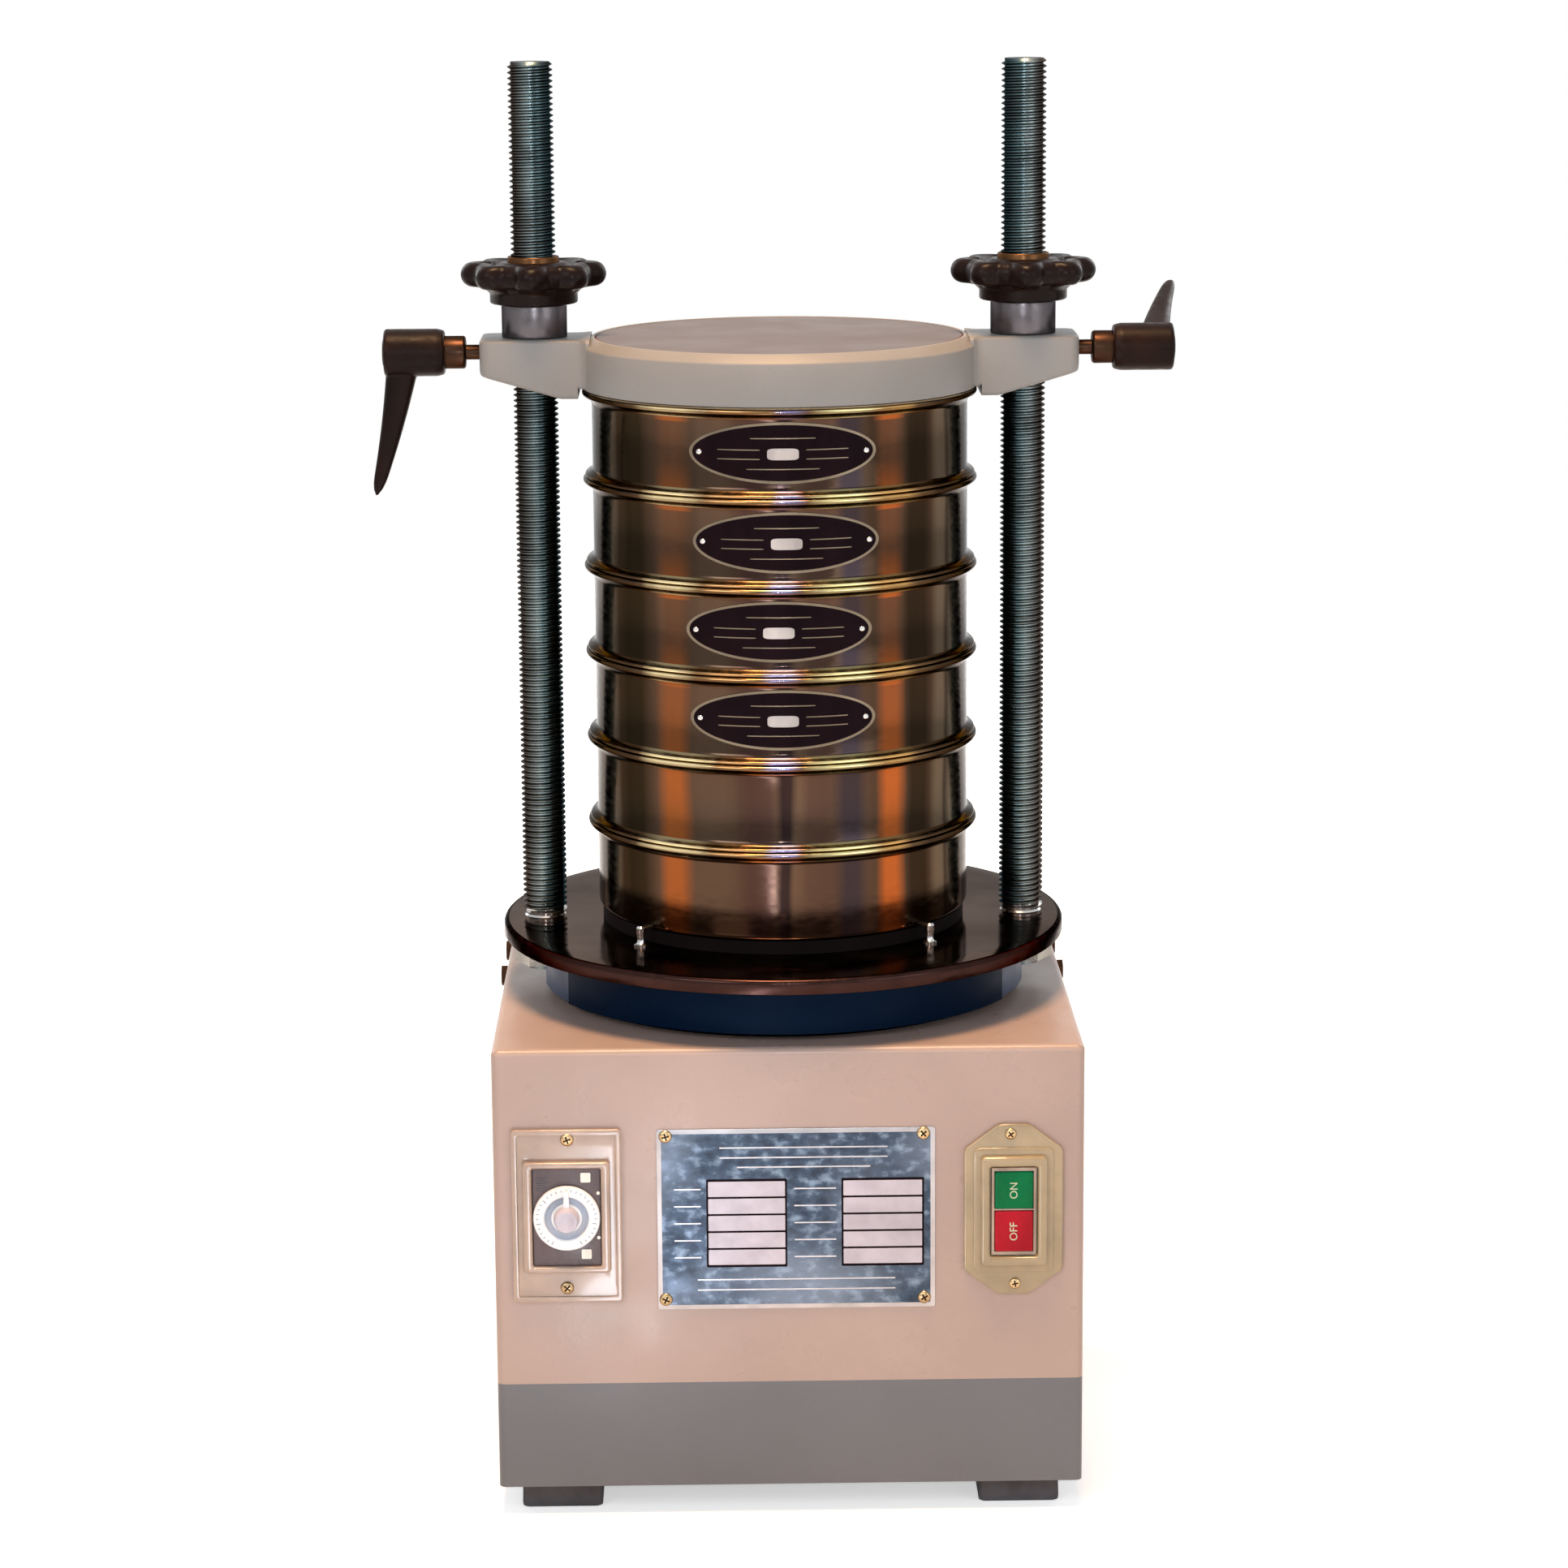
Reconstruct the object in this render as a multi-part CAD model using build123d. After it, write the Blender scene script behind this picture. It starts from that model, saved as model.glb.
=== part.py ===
from build123d import *
import os
from math import cos, radians, sin, sqrt, tan

# Sieve shaker in millimetres. The sieves stand on the Z axis, the front is -Y and the bench is Z = 0.

# Clearances shared by many pieces
slip_gap = 0.3
running_gap = 0.1

# Housing: a lower pan and a cover of folded sheet on four rubber feet
house_w = 310.0
house_d = 290.0
house_sheet = 2.0
fold_r = 4.0
foot_h = 16.0
foot_w = 43.0
foot_d = 43.0
foot_inset = 11.5
pan_wall_h = 57.5
cover_h = 182.5
lap_h = 12.0
top_hole_gap = 6.0

# Spring deck inside the housing
deck_t = 5.0
deck_drop = 36.0
deck_flange_h = 30.0
deck_flange_t = 3.0
deck_side_gap = 1.0
deck_hole_gap = 12.0
deck_device_gap = 6.0
deck_rear_room = 14.0
post_w = 30.0
post_t = 3.0
cover_screw_drop = 9.0
cover_screw_insets = (81.0, 23.0)
cover_screw_across = 10.0
cover_screw_head_h = 3.5
cover_screw_r = 2.5
cover_screw_len = 10.0

# Rubber springs between the deck and the vibrating plate
spring_motor_gap = 3.13
spring_count = 4
spring_r = 17.0
spring_cup_w = 38.0
spring_cup_t = 3.0

# Vibrating plate, tray and skirt
table_rise = 38.5
tray_t = 1.5
tray_edge = 10.6
tray_lip_h = 8.0
plate_t = 6.0
plate_gap = 2.1
skirt_overlap = 9.0
skirt_t = 1.5
skirt_lift = 4.0
skirt_middle_angles = (-90.0, 90.0)
skirt_half_angle = 81.0
guard_half_angle = 61.0
guard_t = 1.5

# Threaded rods, drawn at their thread crest
rod_r = 12.0
rod_stack_gap = 12.8
rod_len = 463.5
rod_chamfer = 1.5
spigot_r = 10.0
spigot_tail = 3.0
nut_across = 30.0
nut_h = 16.0
lock_washer_r = 15.5
lock_washer_t = 3.0

# Stack of test sieves, inside diameter 200 mm
bore_r = 100.0
wall_t = 1.0
pitch = 46.8
rim_stand = 5.2
rim_h = 3.2
rim_flare_h = 2.6
shoulder_stand = 4.0
shoulder_h = 4.6
skirt_len = 8.0
nest_gap = 0.3
sieve_count = 5
seat_inset = 2.0
seat_w = 19.0
seat_h = 7.0
receiver_h = 49.0
receiver_edge = 3.0
mesh_t = 0.6
lid_t = 0.8

# Oval plates riveted on the upper sieves
label_w = 100.0
label_h = 33.0
label_t = 0.5
label_turns = (0.1, 1.0, -1.5, -0.4)

# Pan clips
clip_stand = 8.0
clip_start_angle = 45.0
clip_post_r = 2.5
clip_post_h = 11.0
clip_nose_w = 4.0
clip_nose_h = 3.0

# Clamp hoop
hoop_h = 27.2
hoop_stand = 0.1
hoop_wall = 7.3
hoop_chamfer_h = 4.5
hoop_chamfer_w = 6.0
disc_t = 2.0
disc_gap = 0.1
ledge_w = 4.0
ledge_t = 3.0
arm_end_stand = 29.0
arm_half_w = 22.0
arm_end_h = 19.0
arm_root_len = 10.7
arm_root_drop = 4.3
arm_rim_gap = 1.5
arm_corner_r = 7.0
rod_hole_gap = 0.5
sleeve_wall = 5.0
sleeve_h = 18.0

# Handwheels
wheel_r = 40.0
wheel_lobes = 8
wheel_lobe_r = 8.5
wheel_lobe_stand = 6.0
wheel_rim_h = 13.0
wheel_hub_wall = 9.7
wheel_hub_h = 9.0
wheel_chamfer = 3.2
insert_wall = 1.8
insert_stand = 3.0

# Clamping levers
lever_drop = 8.1
stud_r = 4.0
stud_stand = 8.0
collar_r = 8.8
collar_len = 11.3
lever_hub_r = 12.7
lever_hub_len = 32.5
lever_reach = 77.0
lever_root_w = 18.7
lever_root_d = 13.0
lever_tip_w = 6.0
lever_tip_d = 5.0
lever_edge_r = 2.0
lever_lean_out = 17.0
lever_root_inset = 11.0
left_lever_angle = 0.0
right_lever_angle = 112.0

# Vibration motor hung under the plate
motor_flange_w = 20.0
motor_flange_t = 8.0
motor_r = 50.0
motor_wall = 5.0
motor_len = 122.0
weight_room = 24.0
web_lip = 3.0
shield_t = 6.0
shaft_r = 10.0
shaft_hole_gap = 2.0
bearing_r = 23.5
bearing_t = 14.0
core_r = 26.0
core_len = 50.0
stator_gap = 0.5
weight_side_gap = 5.0
weight_t = 14.0
weight_boss_wall = 7.0
weight_clear = 3.0
bolt_r = 4.0
bolt_across = 13.0
bolt_head_h = 5.3
bolt_bite = 4.5

# Front panel, heights above the bench
timer_side_inset = 38.4
timer_drop = 89.4
timer_w = 57.5
timer_h = 94.0
bezel_t = 3.0
frame_w = 46.0
frame_h = 60.5
frame_rise = 3.0
frame_edge_w = 5.0
frame_edge_h = 3.5
face_sink = 2.0
timer_body_depth = 44.0
knob_edge = 0.5
knob_rise = 3.0
knob_hub_r = 6.0
knob_hub_rise = 9.0
knob_grip_w = 3.2
spindle_r = 3.0
spindle_len = 6.0
rating_timer_gap = 18.45
rating_switch_gap = 15.0
rating_drop = 92.6
rating_h = 98.5
rating_t = 1.0
switch_side_inset = 37.4
switch_drop = 88.5
switch_w = 52.0
switch_h = 93.0
switch_side_h = 66.0
switch_neck_w = 16.0
switch_t = 2.5
switch_frame_wall_w = 5.5
switch_frame_wall_h = 6.0
switch_frame_rise = 5.0
button_edge_w = 2.0
button_edge_h = 2.3
switch_body_depth = 38.0
button_w = 20.0
green_h = 20.0
red_h = 22.0
button_split = 1.4
button_len = 10.0
button_recess = 1.0
button_travel = 3.0
button_chamfer = 0.8

# Cable gland low on the rear, for a lead that is not fitted
gland_side_inset = 65.0
gland_drop = 15.5
gland_hex_across = 24.0
gland_hex_h = 6.0
gland_cap_r = 10.0
gland_cap_h = 9.0
gland_bore_r = 4.0
gland_wall = 4.0
gland_nut_h = 4.0
gland_tail = 2.0

# Places worked out from the sizes above
front = -house_d / 2
pan_top = foot_h + pan_wall_h
house_top = pan_top + cover_h
deck_top = house_top - deck_drop + deck_t
deck_front_room = timer_body_depth + deck_device_gap
deck_hole_r = motor_r + deck_hole_gap
cover_screw_y = [-front - house_sheet - deck_rear_room - inset for inset in cover_screw_insets]
table_top = house_top + table_rise
plate_top = table_top - tray_t
plate_low = plate_top - plate_t
motor_flange_r = motor_r + motor_flange_w
motor_bolt_ring_r = motor_r + motor_flange_w / 2
spring_ring_r = motor_flange_r + spring_motor_gap + spring_cup_w / sqrt(2)
top_hole_r = spring_ring_r + spring_r + top_hole_gap
skirt_r = top_hole_r + skirt_overlap
skirt_low = house_top + skirt_lift
wall_r = bore_r + wall_t
rim_r = wall_r + rim_stand
shoulder_r = wall_r + shoulder_stand
seat_r = wall_r - seat_inset
seat_inner_r = seat_r - seat_w
clip_ring_r = wall_r + clip_stand
rod_x = rim_r + rod_stack_gap + rod_r
rod_top = table_top + rod_len
tray_r = rod_x + rod_r + tray_edge
plate_r = tray_r - tray_t - plate_gap
receiver_low = table_top + seat_h
stack_base = receiver_low + receiver_h
stack_top = stack_base + sieve_count * pitch
hoop_low = stack_top + lid_t
hoop_top = hoop_low + hoop_h
skirt_out_r = bore_r - nest_gap
wheel_low = hoop_top + sleeve_h
wheel_hub_top = wheel_low + wheel_hub_h
wheel_top = wheel_hub_top + wheel_rim_h
hoop_r = rim_r + hoop_stand
hoop_bore_r = hoop_r - hoop_wall
arm_root_x = hoop_r + arm_root_len
arm_end_x = rod_x + arm_end_stand
sleeve_r = rod_r + rod_hole_gap + sleeve_wall
insert_r = rod_r + insert_wall
wheel_hub_r = insert_r + wheel_hub_wall
wheel_core_r = wheel_r - wheel_lobe_stand
lever_z = hoop_top - lever_drop
shaft_hole_r = shaft_r + shaft_hole_gap
weight_r = motor_r - motor_wall - weight_side_gap
weight_boss_r = shaft_r + weight_boss_wall
motor_flange_low = plate_low - motor_flange_t
web_top = plate_low - weight_room
motor_low = plate_low - motor_len
timer_x = timer_side_inset - house_w / 2
timer_z = house_top - timer_drop
face_w = frame_w - 2 * frame_edge_w
face_h = frame_h - 2 * frame_edge_h
knob_r = face_w / 2 - knob_edge
switch_x = house_w / 2 - switch_side_inset
switch_z = house_top - switch_drop
switch_window_w = button_w + 2 * button_edge_w
switch_window_h = green_h + button_split + red_h + 2 * button_edge_h
switch_frame_w = switch_window_w + 2 * switch_frame_wall_w
switch_frame_h = switch_window_h + 2 * switch_frame_wall_h
rating_left = timer_x + timer_w / 2 + rating_timer_gap
rating_right = switch_x - switch_w / 2 - rating_switch_gap
rating_w = rating_right - rating_left
rating_x = (rating_left + rating_right) / 2
rating_z = house_top - rating_drop
gland_x = house_w / 2 - gland_side_inset
gland_z = pan_top - lap_h - gland_drop
gland_thread_r = gland_bore_r + gland_wall


def ring(outer_r, inner_r, low, high):
    """Flat ring round the Z axis."""
    return extrude(Plane.XY.offset(low) * (Circle(outer_r) - Circle(inner_r)), amount=high - low)


def disc(radius, low, high):
    """Round plate or bar on the Z axis."""
    return extrude(Plane.XY.offset(low) * Circle(radius), amount=high - low)


def turned(points):
    """Solid turned round the Z axis from its outline of (radius, height) points."""
    outline = make_face(Polyline(*points, close=True))
    return revolve(Plane.XZ * outline, Axis.Z)


def block(x0, x1, y0, y1, z0, z1):
    """Box between two corners."""
    return Pos((x0 + x1) / 2, (y0 + y1) / 2, (z0 + z1) / 2) * Box(x1 - x0, y1 - y0, z1 - z0)


def rounded_block(width, depth, radius, low, high):
    """Upright block on the Z axis with rounded vertical corners."""
    return extrude(Plane.XY.offset(low) * RectangleRounded(width, depth, radius), amount=high - low)


def sector(outer_r, inner_r, low, high, middle_angle, half_angle):
    """Part of a ring, with its middle at an angle in degrees from +X."""
    reach = outer_r * 2
    wedge = make_face(
        Polyline(
            (0, 0),
            (reach, -reach * tan(radians(half_angle / 2))),
            (reach, reach * tan(radians(half_angle / 2))),
            close=True,
        )
    )
    flat = Circle(outer_r) - Circle(inner_r)
    halves = [Rot(0, 0, middle_angle + side * half_angle / 2) * wedge for side in (-1, 1)]
    return [extrude(Plane.XY.offset(low) * (flat & half), amount=high - low) for half in halves]


def around(count, radius, start=0.0):
    """Places evenly spaced on a circle, as (x, y, angle)."""
    angles = [start + 360 * i / count for i in range(count)]
    return [(radius * cos(radians(a)), radius * sin(radians(a)), a) for a in angles]


def hexagon(across):
    """Hexagon drawn by its width across flats."""
    return RegularPolygon(across / 2, 6, major_radius=False)


def from_front(shape, x, z):
    """Stand a shape drawn on XY on the front panel, with its own Z pointing out of the panel."""
    return Pos(x, front, z) * Rot(90, 0, 0) * shape


def from_rear(shape, x, z):
    """Stand a shape drawn on XY on the rear wall, with its own Z pointing out of the wall."""
    return Pos(x, -front, z) * Rot(-90, 0, 0) * shape


def save(node, shapes):
    """Write one node, which is one solid or a group of separate ones."""
    shapes = shapes if isinstance(shapes, list) else [shapes]
    solids = [solid for shape in shapes for solid in shape.solids()]
    export_step(Compound(children=solids), "parts/" + node + ".step")


# Housing
def base_pan():
    outer = rounded_block(house_w, house_d, fold_r, foot_h, pan_top)
    inside_w = house_w - 2 * house_sheet
    inside_d = house_d - 2 * house_sheet
    pan = outer - Pos(0, 0, foot_h + house_sheet) * upright(inside_w, inside_d, pan_wall_h)
    lap_w = inside_w - 2 * slip_gap
    lap_d = inside_d - 2 * slip_gap
    core = upright(lap_w - 2 * house_sheet, lap_d - 2 * house_sheet, 2 * lap_h)
    seam = upright(inside_w, inside_d, house_sheet) - core
    lap = upright(lap_w, lap_d, 2 * lap_h) - core
    gland_hole = from_rear(Cylinder(gland_thread_r, 4 * house_sheet), gland_x, gland_z)
    return pan + Pos(0, 0, pan_top - lap_h) * (lap + seam) - gland_hole


def upright(width, depth, height):
    """Box standing on the XY plane with its middle on the Z axis."""
    return Box(width, depth, height, align=(Align.CENTER, Align.CENTER, Align.MIN))


def housing_cover():
    shell = rounded_block(house_w, house_d, fold_r, pan_top, house_top)
    shell = fillet(shell.faces().sort_by(Axis.Z)[-1].edges(), fold_r - slip_gap)
    room = upright(house_w - 2 * house_sheet, house_d - 2 * house_sheet, cover_h - house_sheet)
    cover = shell - Pos(0, 0, pan_top) * room - disc(top_hole_r, house_top - 2 * house_sheet, house_top)
    for x, z, width, height in panel_cutouts():
        cover -= block(x - width / 2, x + width / 2, front, front + house_sheet, z - height / 2, z + height / 2)
    return cover - cover_screw_holes()


def cover_screw_holes():
    z = house_top - cover_screw_drop
    drill = Rot(0, 90, 0) * Cylinder(cover_screw_r + running_gap, 2 * house_w)
    return [Pos(0, y, z) * drill for y in cover_screw_y]


def panel_cutouts():
    """Windows behind the timer and the switch, as middle and size."""
    return [
        (timer_x, timer_z, face_w + 2 * slip_gap, face_h + 2 * slip_gap),
        (switch_x, switch_z, switch_window_w + 2 * slip_gap, switch_window_h + 2 * slip_gap),
    ]


def rubber_feet():
    foot_x = house_w / 2 - foot_inset - foot_w / 2
    foot_y = house_d / 2 - foot_inset - foot_d / 2
    feet = []
    for side_x in (-1, 1):
        for side_y in (-1, 1):
            x, y = side_x * foot_x, side_y * foot_y
            feet.append(block(x - foot_w / 2, x + foot_w / 2, y - foot_d / 2, y + foot_d / 2, 0, foot_h))
    return feet


def deck_corners():
    """Half width of the deck, and its front and rear edges."""
    half_w = house_w / 2 - house_sheet - deck_side_gap
    return half_w, front + house_sheet + deck_front_room, -front - house_sheet - deck_rear_room


def deck_plate():
    half_w, near, far = deck_corners()
    low = deck_top - deck_t
    deck = block(-half_w, half_w, near, far, low, deck_top)
    deck += block(-half_w, deck_flange_t - half_w, near, far, low, low + deck_flange_h)
    deck += block(half_w - deck_flange_t, half_w, near, far, low, low + deck_flange_h)
    return deck - disc(deck_hole_r, low, deck_top) - cover_screw_holes()


def deck_posts():
    half_w, near, far = deck_corners()
    low = foot_h + house_sheet
    angle = block(0, post_w, 0, post_w, low, deck_top - deck_t)
    angle -= block(post_t, post_w, post_t, post_w, low, deck_top - deck_t)
    inset = house_sheet + slip_gap + post_t
    return [
        Pos(inset - half_w, near, 0) * angle,
        Pos(half_w - inset, near, 0) * Rot(0, 0, 90) * angle,
        Pos(half_w - inset, far - inset, 0) * Rot(0, 0, 180) * angle,
        Pos(inset - half_w, far - inset, 0) * Rot(0, 0, 270) * angle,
    ]


def cover_screws():
    z = house_top - cover_screw_drop
    head = extrude(hexagon(cover_screw_across), amount=cover_screw_head_h)
    shank = Cylinder(cover_screw_r, cover_screw_len, align=(Align.CENTER, Align.CENTER, Align.MAX))
    screw = head + shank
    return [Pos(side * house_w / 2, y, z) * Rot(0, side * 90, 0) * screw for side in (-1, 1) for y in cover_screw_y]


# Rubber springs and their cups
def spring_places():
    return around(spring_count, spring_ring_r, start=180 / spring_count)


def spring_cups(low):
    cup = Pos(0, 0, low) * upright(spring_cup_w, spring_cup_w, spring_cup_t)
    return [Pos(x, y, 0) * cup for x, y, _ in spring_places()]


def rubber_springs():
    spring = disc(spring_r, deck_top + spring_cup_t, plate_low - spring_cup_t)
    return [Pos(x, y, 0) * spring for x, y, _ in spring_places()]


# Table
def vibrating_plate():
    plate = disc(plate_r, plate_low, plate_top)
    for side in (-1, 1):
        plate -= Pos(side * rod_x, 0, 0) * disc(spigot_r + running_gap, plate_low, plate_top)
    for x, y, _ in motor_bolt_places():
        plate -= Pos(x, y, 0) * disc(bolt_r, plate_low, plate_low + bolt_bite)
    return plate


def tray():
    lip_low = table_top - tray_lip_h
    outline = [
        (0, plate_top),
        (tray_r - tray_t, plate_top),
        (tray_r - tray_t, lip_low),
        (tray_r, lip_low),
        (tray_r, table_top - tray_t),
        (tray_r - tray_t, table_top),
        (0, table_top),
    ]
    sheet = turned(outline)
    for side in (-1, 1):
        sheet -= Pos(side * rod_x, 0, 0) * disc(spigot_r + running_gap, plate_top, table_top)
    return sheet


def skirt_segments():
    pieces = []
    for middle in skirt_middle_angles:
        whole = sector(skirt_r, skirt_r - skirt_t, skirt_low, plate_low, middle, skirt_half_angle)
        pieces.append(whole[0] + whole[1])
    return pieces


def skirt_guards():
    inner = skirt_r
    pieces = []
    for middle in skirt_middle_angles:
        whole = sector(inner + guard_t, inner, skirt_low, plate_low, middle, guard_half_angle)
        pieces.append(whole[0] + whole[1])
    return pieces


def rod():
    spigot_low = plate_low - lock_washer_t - nut_h - spigot_tail
    bar = disc(rod_r, table_top, rod_top)
    bar = chamfer(bar.faces().sort_by(Axis.Z)[-1].edges(), rod_chamfer)
    return bar + disc(spigot_r, spigot_low, table_top)


def rod_nuts():
    high = plate_low - lock_washer_t
    nut = extrude(Plane.XY.offset(high - nut_h) * (hexagon(nut_across) - Circle(spigot_r)), amount=nut_h)
    return [Pos(side * rod_x, 0, 0) * nut for side in (-1, 1)]


def lock_washers():
    washer = ring(lock_washer_r, spigot_r, plate_low - lock_washer_t, plate_low)
    return [Pos(side * rod_x, 0, 0) * washer for side in (-1, 1)]


# Sieves
def pan_seat():
    return ring(seat_r, seat_inner_r, table_top, receiver_low)


def rim_outline(top):
    """Rolled rim at the top of a sieve or of the receiver, from the wall outwards and back to the bore."""
    return [
        (wall_r, top - rim_h - rim_flare_h),
        (rim_r, top - rim_h),
        (rim_r, top),
        (bore_r, top),
    ]


def receiver_pan():
    low = receiver_low
    outline = [(0, low), (wall_r - receiver_edge, low), (wall_r, low + receiver_edge)]
    outline += rim_outline(stack_base)
    outline += [(bore_r, low + receiver_edge), (bore_r - receiver_edge + wall_t, low + wall_t), (0, low + wall_t)]
    return turned(outline)


def sieve_frame(number):
    low = stack_base + (number - 1) * pitch
    outline = [
        (skirt_out_r - wall_t, low - skirt_len),
        (skirt_out_r, low - skirt_len),
        (skirt_out_r, low),
        (shoulder_r, low),
        (bore_r + wall_t, low + shoulder_h),
    ]
    outline += rim_outline(low + pitch)
    outline += [(bore_r, low + wall_t), (skirt_out_r - wall_t, low + wall_t)]
    return turned(outline)


def sieve_meshes():
    cloths = []
    for number in range(1, sieve_count + 1):
        low = stack_base + (number - 1) * pitch + wall_t
        cloths.append(disc(bore_r, low, low + mesh_t))
    return cloths


def sieve_labels():
    labels = []
    for place, turn in enumerate(label_turns):
        number = sieve_count - place
        middle = stack_base + (number - 0.5) * pitch
        oval = Rot(90, 0, 0) * extrude(Ellipse(label_w / 2, label_h / 2), amount=rim_r * 2)
        plate = Rot(0, 0, turn) * Pos(0, 0, middle) * oval
        labels.append(ring(wall_r + label_t, wall_r, middle - label_h, middle + label_h) & plate)
    return labels


def stack_lid():
    plug_r = skirt_out_r
    floor = stack_top - skirt_len
    outline = [
        (0, floor),
        (plug_r, floor),
        (plug_r, stack_top),
        (rim_r, stack_top),
        (rim_r, stack_top + lid_t),
        (plug_r - lid_t, stack_top + lid_t),
        (plug_r - lid_t, floor + lid_t),
        (0, floor + lid_t),
    ]
    return turned(outline)


def pan_clips():
    post = Cylinder(clip_post_r, clip_post_h, align=(Align.CENTER, Align.CENTER, Align.MIN))
    reach = clip_ring_r - bore_r - wall_t - slip_gap
    nose = Pos(-reach / 2, 0, clip_post_h - clip_nose_h) * upright(reach, clip_nose_w, clip_nose_h)
    clip = post + nose
    return [Pos(x, y, table_top) * Rot(0, 0, a) * clip for x, y, a in around(4, clip_ring_r, start=clip_start_angle)]


# Clamp hoop
def clamp_hoop():
    ledge_low = hoop_top - disc_t - ledge_t
    outline = [
        (hoop_bore_r, hoop_low),
        (hoop_r, hoop_low),
        (hoop_r, hoop_top - hoop_chamfer_h),
        (hoop_r - hoop_chamfer_w, hoop_top),
        (hoop_bore_r, hoop_top),
        (hoop_bore_r, hoop_top - disc_t),
        (hoop_bore_r - ledge_w, hoop_top - disc_t),
        (hoop_bore_r - ledge_w, ledge_low),
        (hoop_bore_r, ledge_low - ledge_w),
    ]
    hoop = turned(outline)
    for side in (-1, 1):
        hoop += hoop_arm(side)
    for side in (-1, 1):
        hoop -= Pos(side * rod_x, 0, 0) * disc(rod_r + rod_hole_gap, hoop_low - hoop_h, hoop_top)
        hoop -= stud_hole(side)
    return hoop


def hoop_arm(side):
    root_x = rim_r + arm_rim_gap
    join_x = (hoop_r + hoop_bore_r) / 2
    outline = [
        (join_x, hoop_low),
        (root_x, hoop_low),
        (root_x, hoop_low - arm_root_drop),
        (arm_root_x, hoop_low - arm_root_drop),
        (arm_end_x, hoop_top - arm_end_h),
        (arm_end_x, hoop_top),
        (join_x, hoop_top),
    ]
    profile = make_face(Polyline(*outline, close=True))
    arm = extrude(Plane.XZ.offset(-arm_half_w) * profile, amount=2 * arm_half_w)
    arm = fillet(arm.edges().filter_by(Axis.Z).sort_by(Axis.X)[-2:], arm_corner_r)
    bite = disc(join_x, hoop_low - hoop_h, hoop_top)
    arm = arm - bite
    return arm if side > 0 else mirror(arm, about=Plane.YZ)


def stud_hole(side):
    length = arm_end_x - rod_x
    hole = Rot(0, 90, 0) * Cylinder(stud_r + running_gap, length, align=(Align.CENTER, Align.CENTER, Align.MIN))
    hole = Pos(rod_x, 0, lever_z) * hole
    return hole if side > 0 else mirror(hole, about=Plane.YZ)


def press_disc():
    return disc(hoop_bore_r - disc_gap, hoop_top - disc_t, hoop_top)


def guide_sleeves():
    sleeve = ring(sleeve_r, rod_r + rod_hole_gap, hoop_top, wheel_low - slip_gap)
    return [Pos(side * rod_x, 0, 0) * sleeve for side in (-1, 1)]


# Handwheels
def handwheel(side):
    lobes = [
        Pos(x, y) * Circle(wheel_lobe_r) for x, y, _ in around(wheel_lobes, wheel_r - wheel_lobe_r)
    ]
    outline = Circle(wheel_core_r)
    for lobe in lobes:
        outline += lobe
    rim = extrude(Plane.XY.offset(wheel_hub_top) * outline, amount=wheel_rim_h)
    top_edges = rim.faces().sort_by(Axis.Z)[-1].edges()
    low_edges = rim.faces().sort_by(Axis.Z)[0].edges()
    rim = chamfer(top_edges + low_edges, wheel_chamfer)
    wheel = rim + disc(wheel_hub_r, wheel_low, wheel_hub_top) - disc(insert_r, wheel_low, wheel_top)
    return Pos(side * rod_x, 0, 0) * wheel


def wheel_insert(side):
    insert = ring(insert_r, rod_r + running_gap, wheel_low, wheel_top + insert_stand)
    return Pos(side * rod_x, 0, 0) * insert


# Clamping levers, drawn for the right side with the arm hanging down
def lever(side):
    hub_start = arm_end_x + stud_stand + collar_len
    hub = Pos(hub_start, 0, 0) * Rot(0, 90, 0) * Cylinder(
        lever_hub_r, lever_hub_len, align=(Align.CENTER, Align.CENTER, Align.MIN)
    )
    root_x = hub_start + lever_hub_len - lever_root_inset
    return place_lever(hub + lever_arm(root_x), side)


def taper(root_x, root_w, tip_x, tip_w):
    """Face of the hanging lever arm, seen from the front or from the side."""
    corners = [
        (root_x - root_w / 2, 0),
        (root_x + root_w / 2, 0),
        (tip_x + tip_w / 2, -lever_reach),
        (tip_x - tip_w / 2, -lever_reach),
    ]
    return make_face(Polyline(*corners, close=True))


def lever_arm(root_x):
    """Arm that tapers in width and in depth, with its long edges rounded."""
    tip_x = root_x + lever_lean_out
    from_the_front = taper(root_x, lever_root_w, tip_x, lever_tip_w)
    from_the_side = taper(0, lever_root_d, 0, lever_tip_d)
    arm = extrude(Plane.XZ.offset(-lever_root_d / 2) * from_the_front, amount=lever_root_d)
    arm &= extrude(Plane.YZ * from_the_side, amount=tip_x + lever_root_w)
    return fillet(arm.edges().filter_by(lambda edge: edge.length > lever_reach / 2), lever_edge_r)


def lever_stud(side):
    start = rod_x + rod_r + slip_gap
    collar_start = arm_end_x + stud_stand
    stud = Pos(start, 0, 0) * Rot(0, 90, 0) * Cylinder(
        stud_r, collar_start - start, align=(Align.CENTER, Align.CENTER, Align.MIN)
    )
    collar = Pos(collar_start, 0, 0) * Rot(0, 90, 0) * Cylinder(
        collar_r, collar_len, align=(Align.CENTER, Align.CENTER, Align.MIN)
    )
    return place_lever(stud + collar, side)


def place_lever(shape, side):
    angle = right_lever_angle if side > 0 else left_lever_angle
    turned_shape = Pos(0, 0, lever_z) * Rot(angle, 0, 0) * shape
    return turned_shape if side > 0 else mirror(turned_shape, about=Plane.YZ)


# Motor
def motor_bolt_places():
    return around(4, motor_bolt_ring_r)


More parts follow.
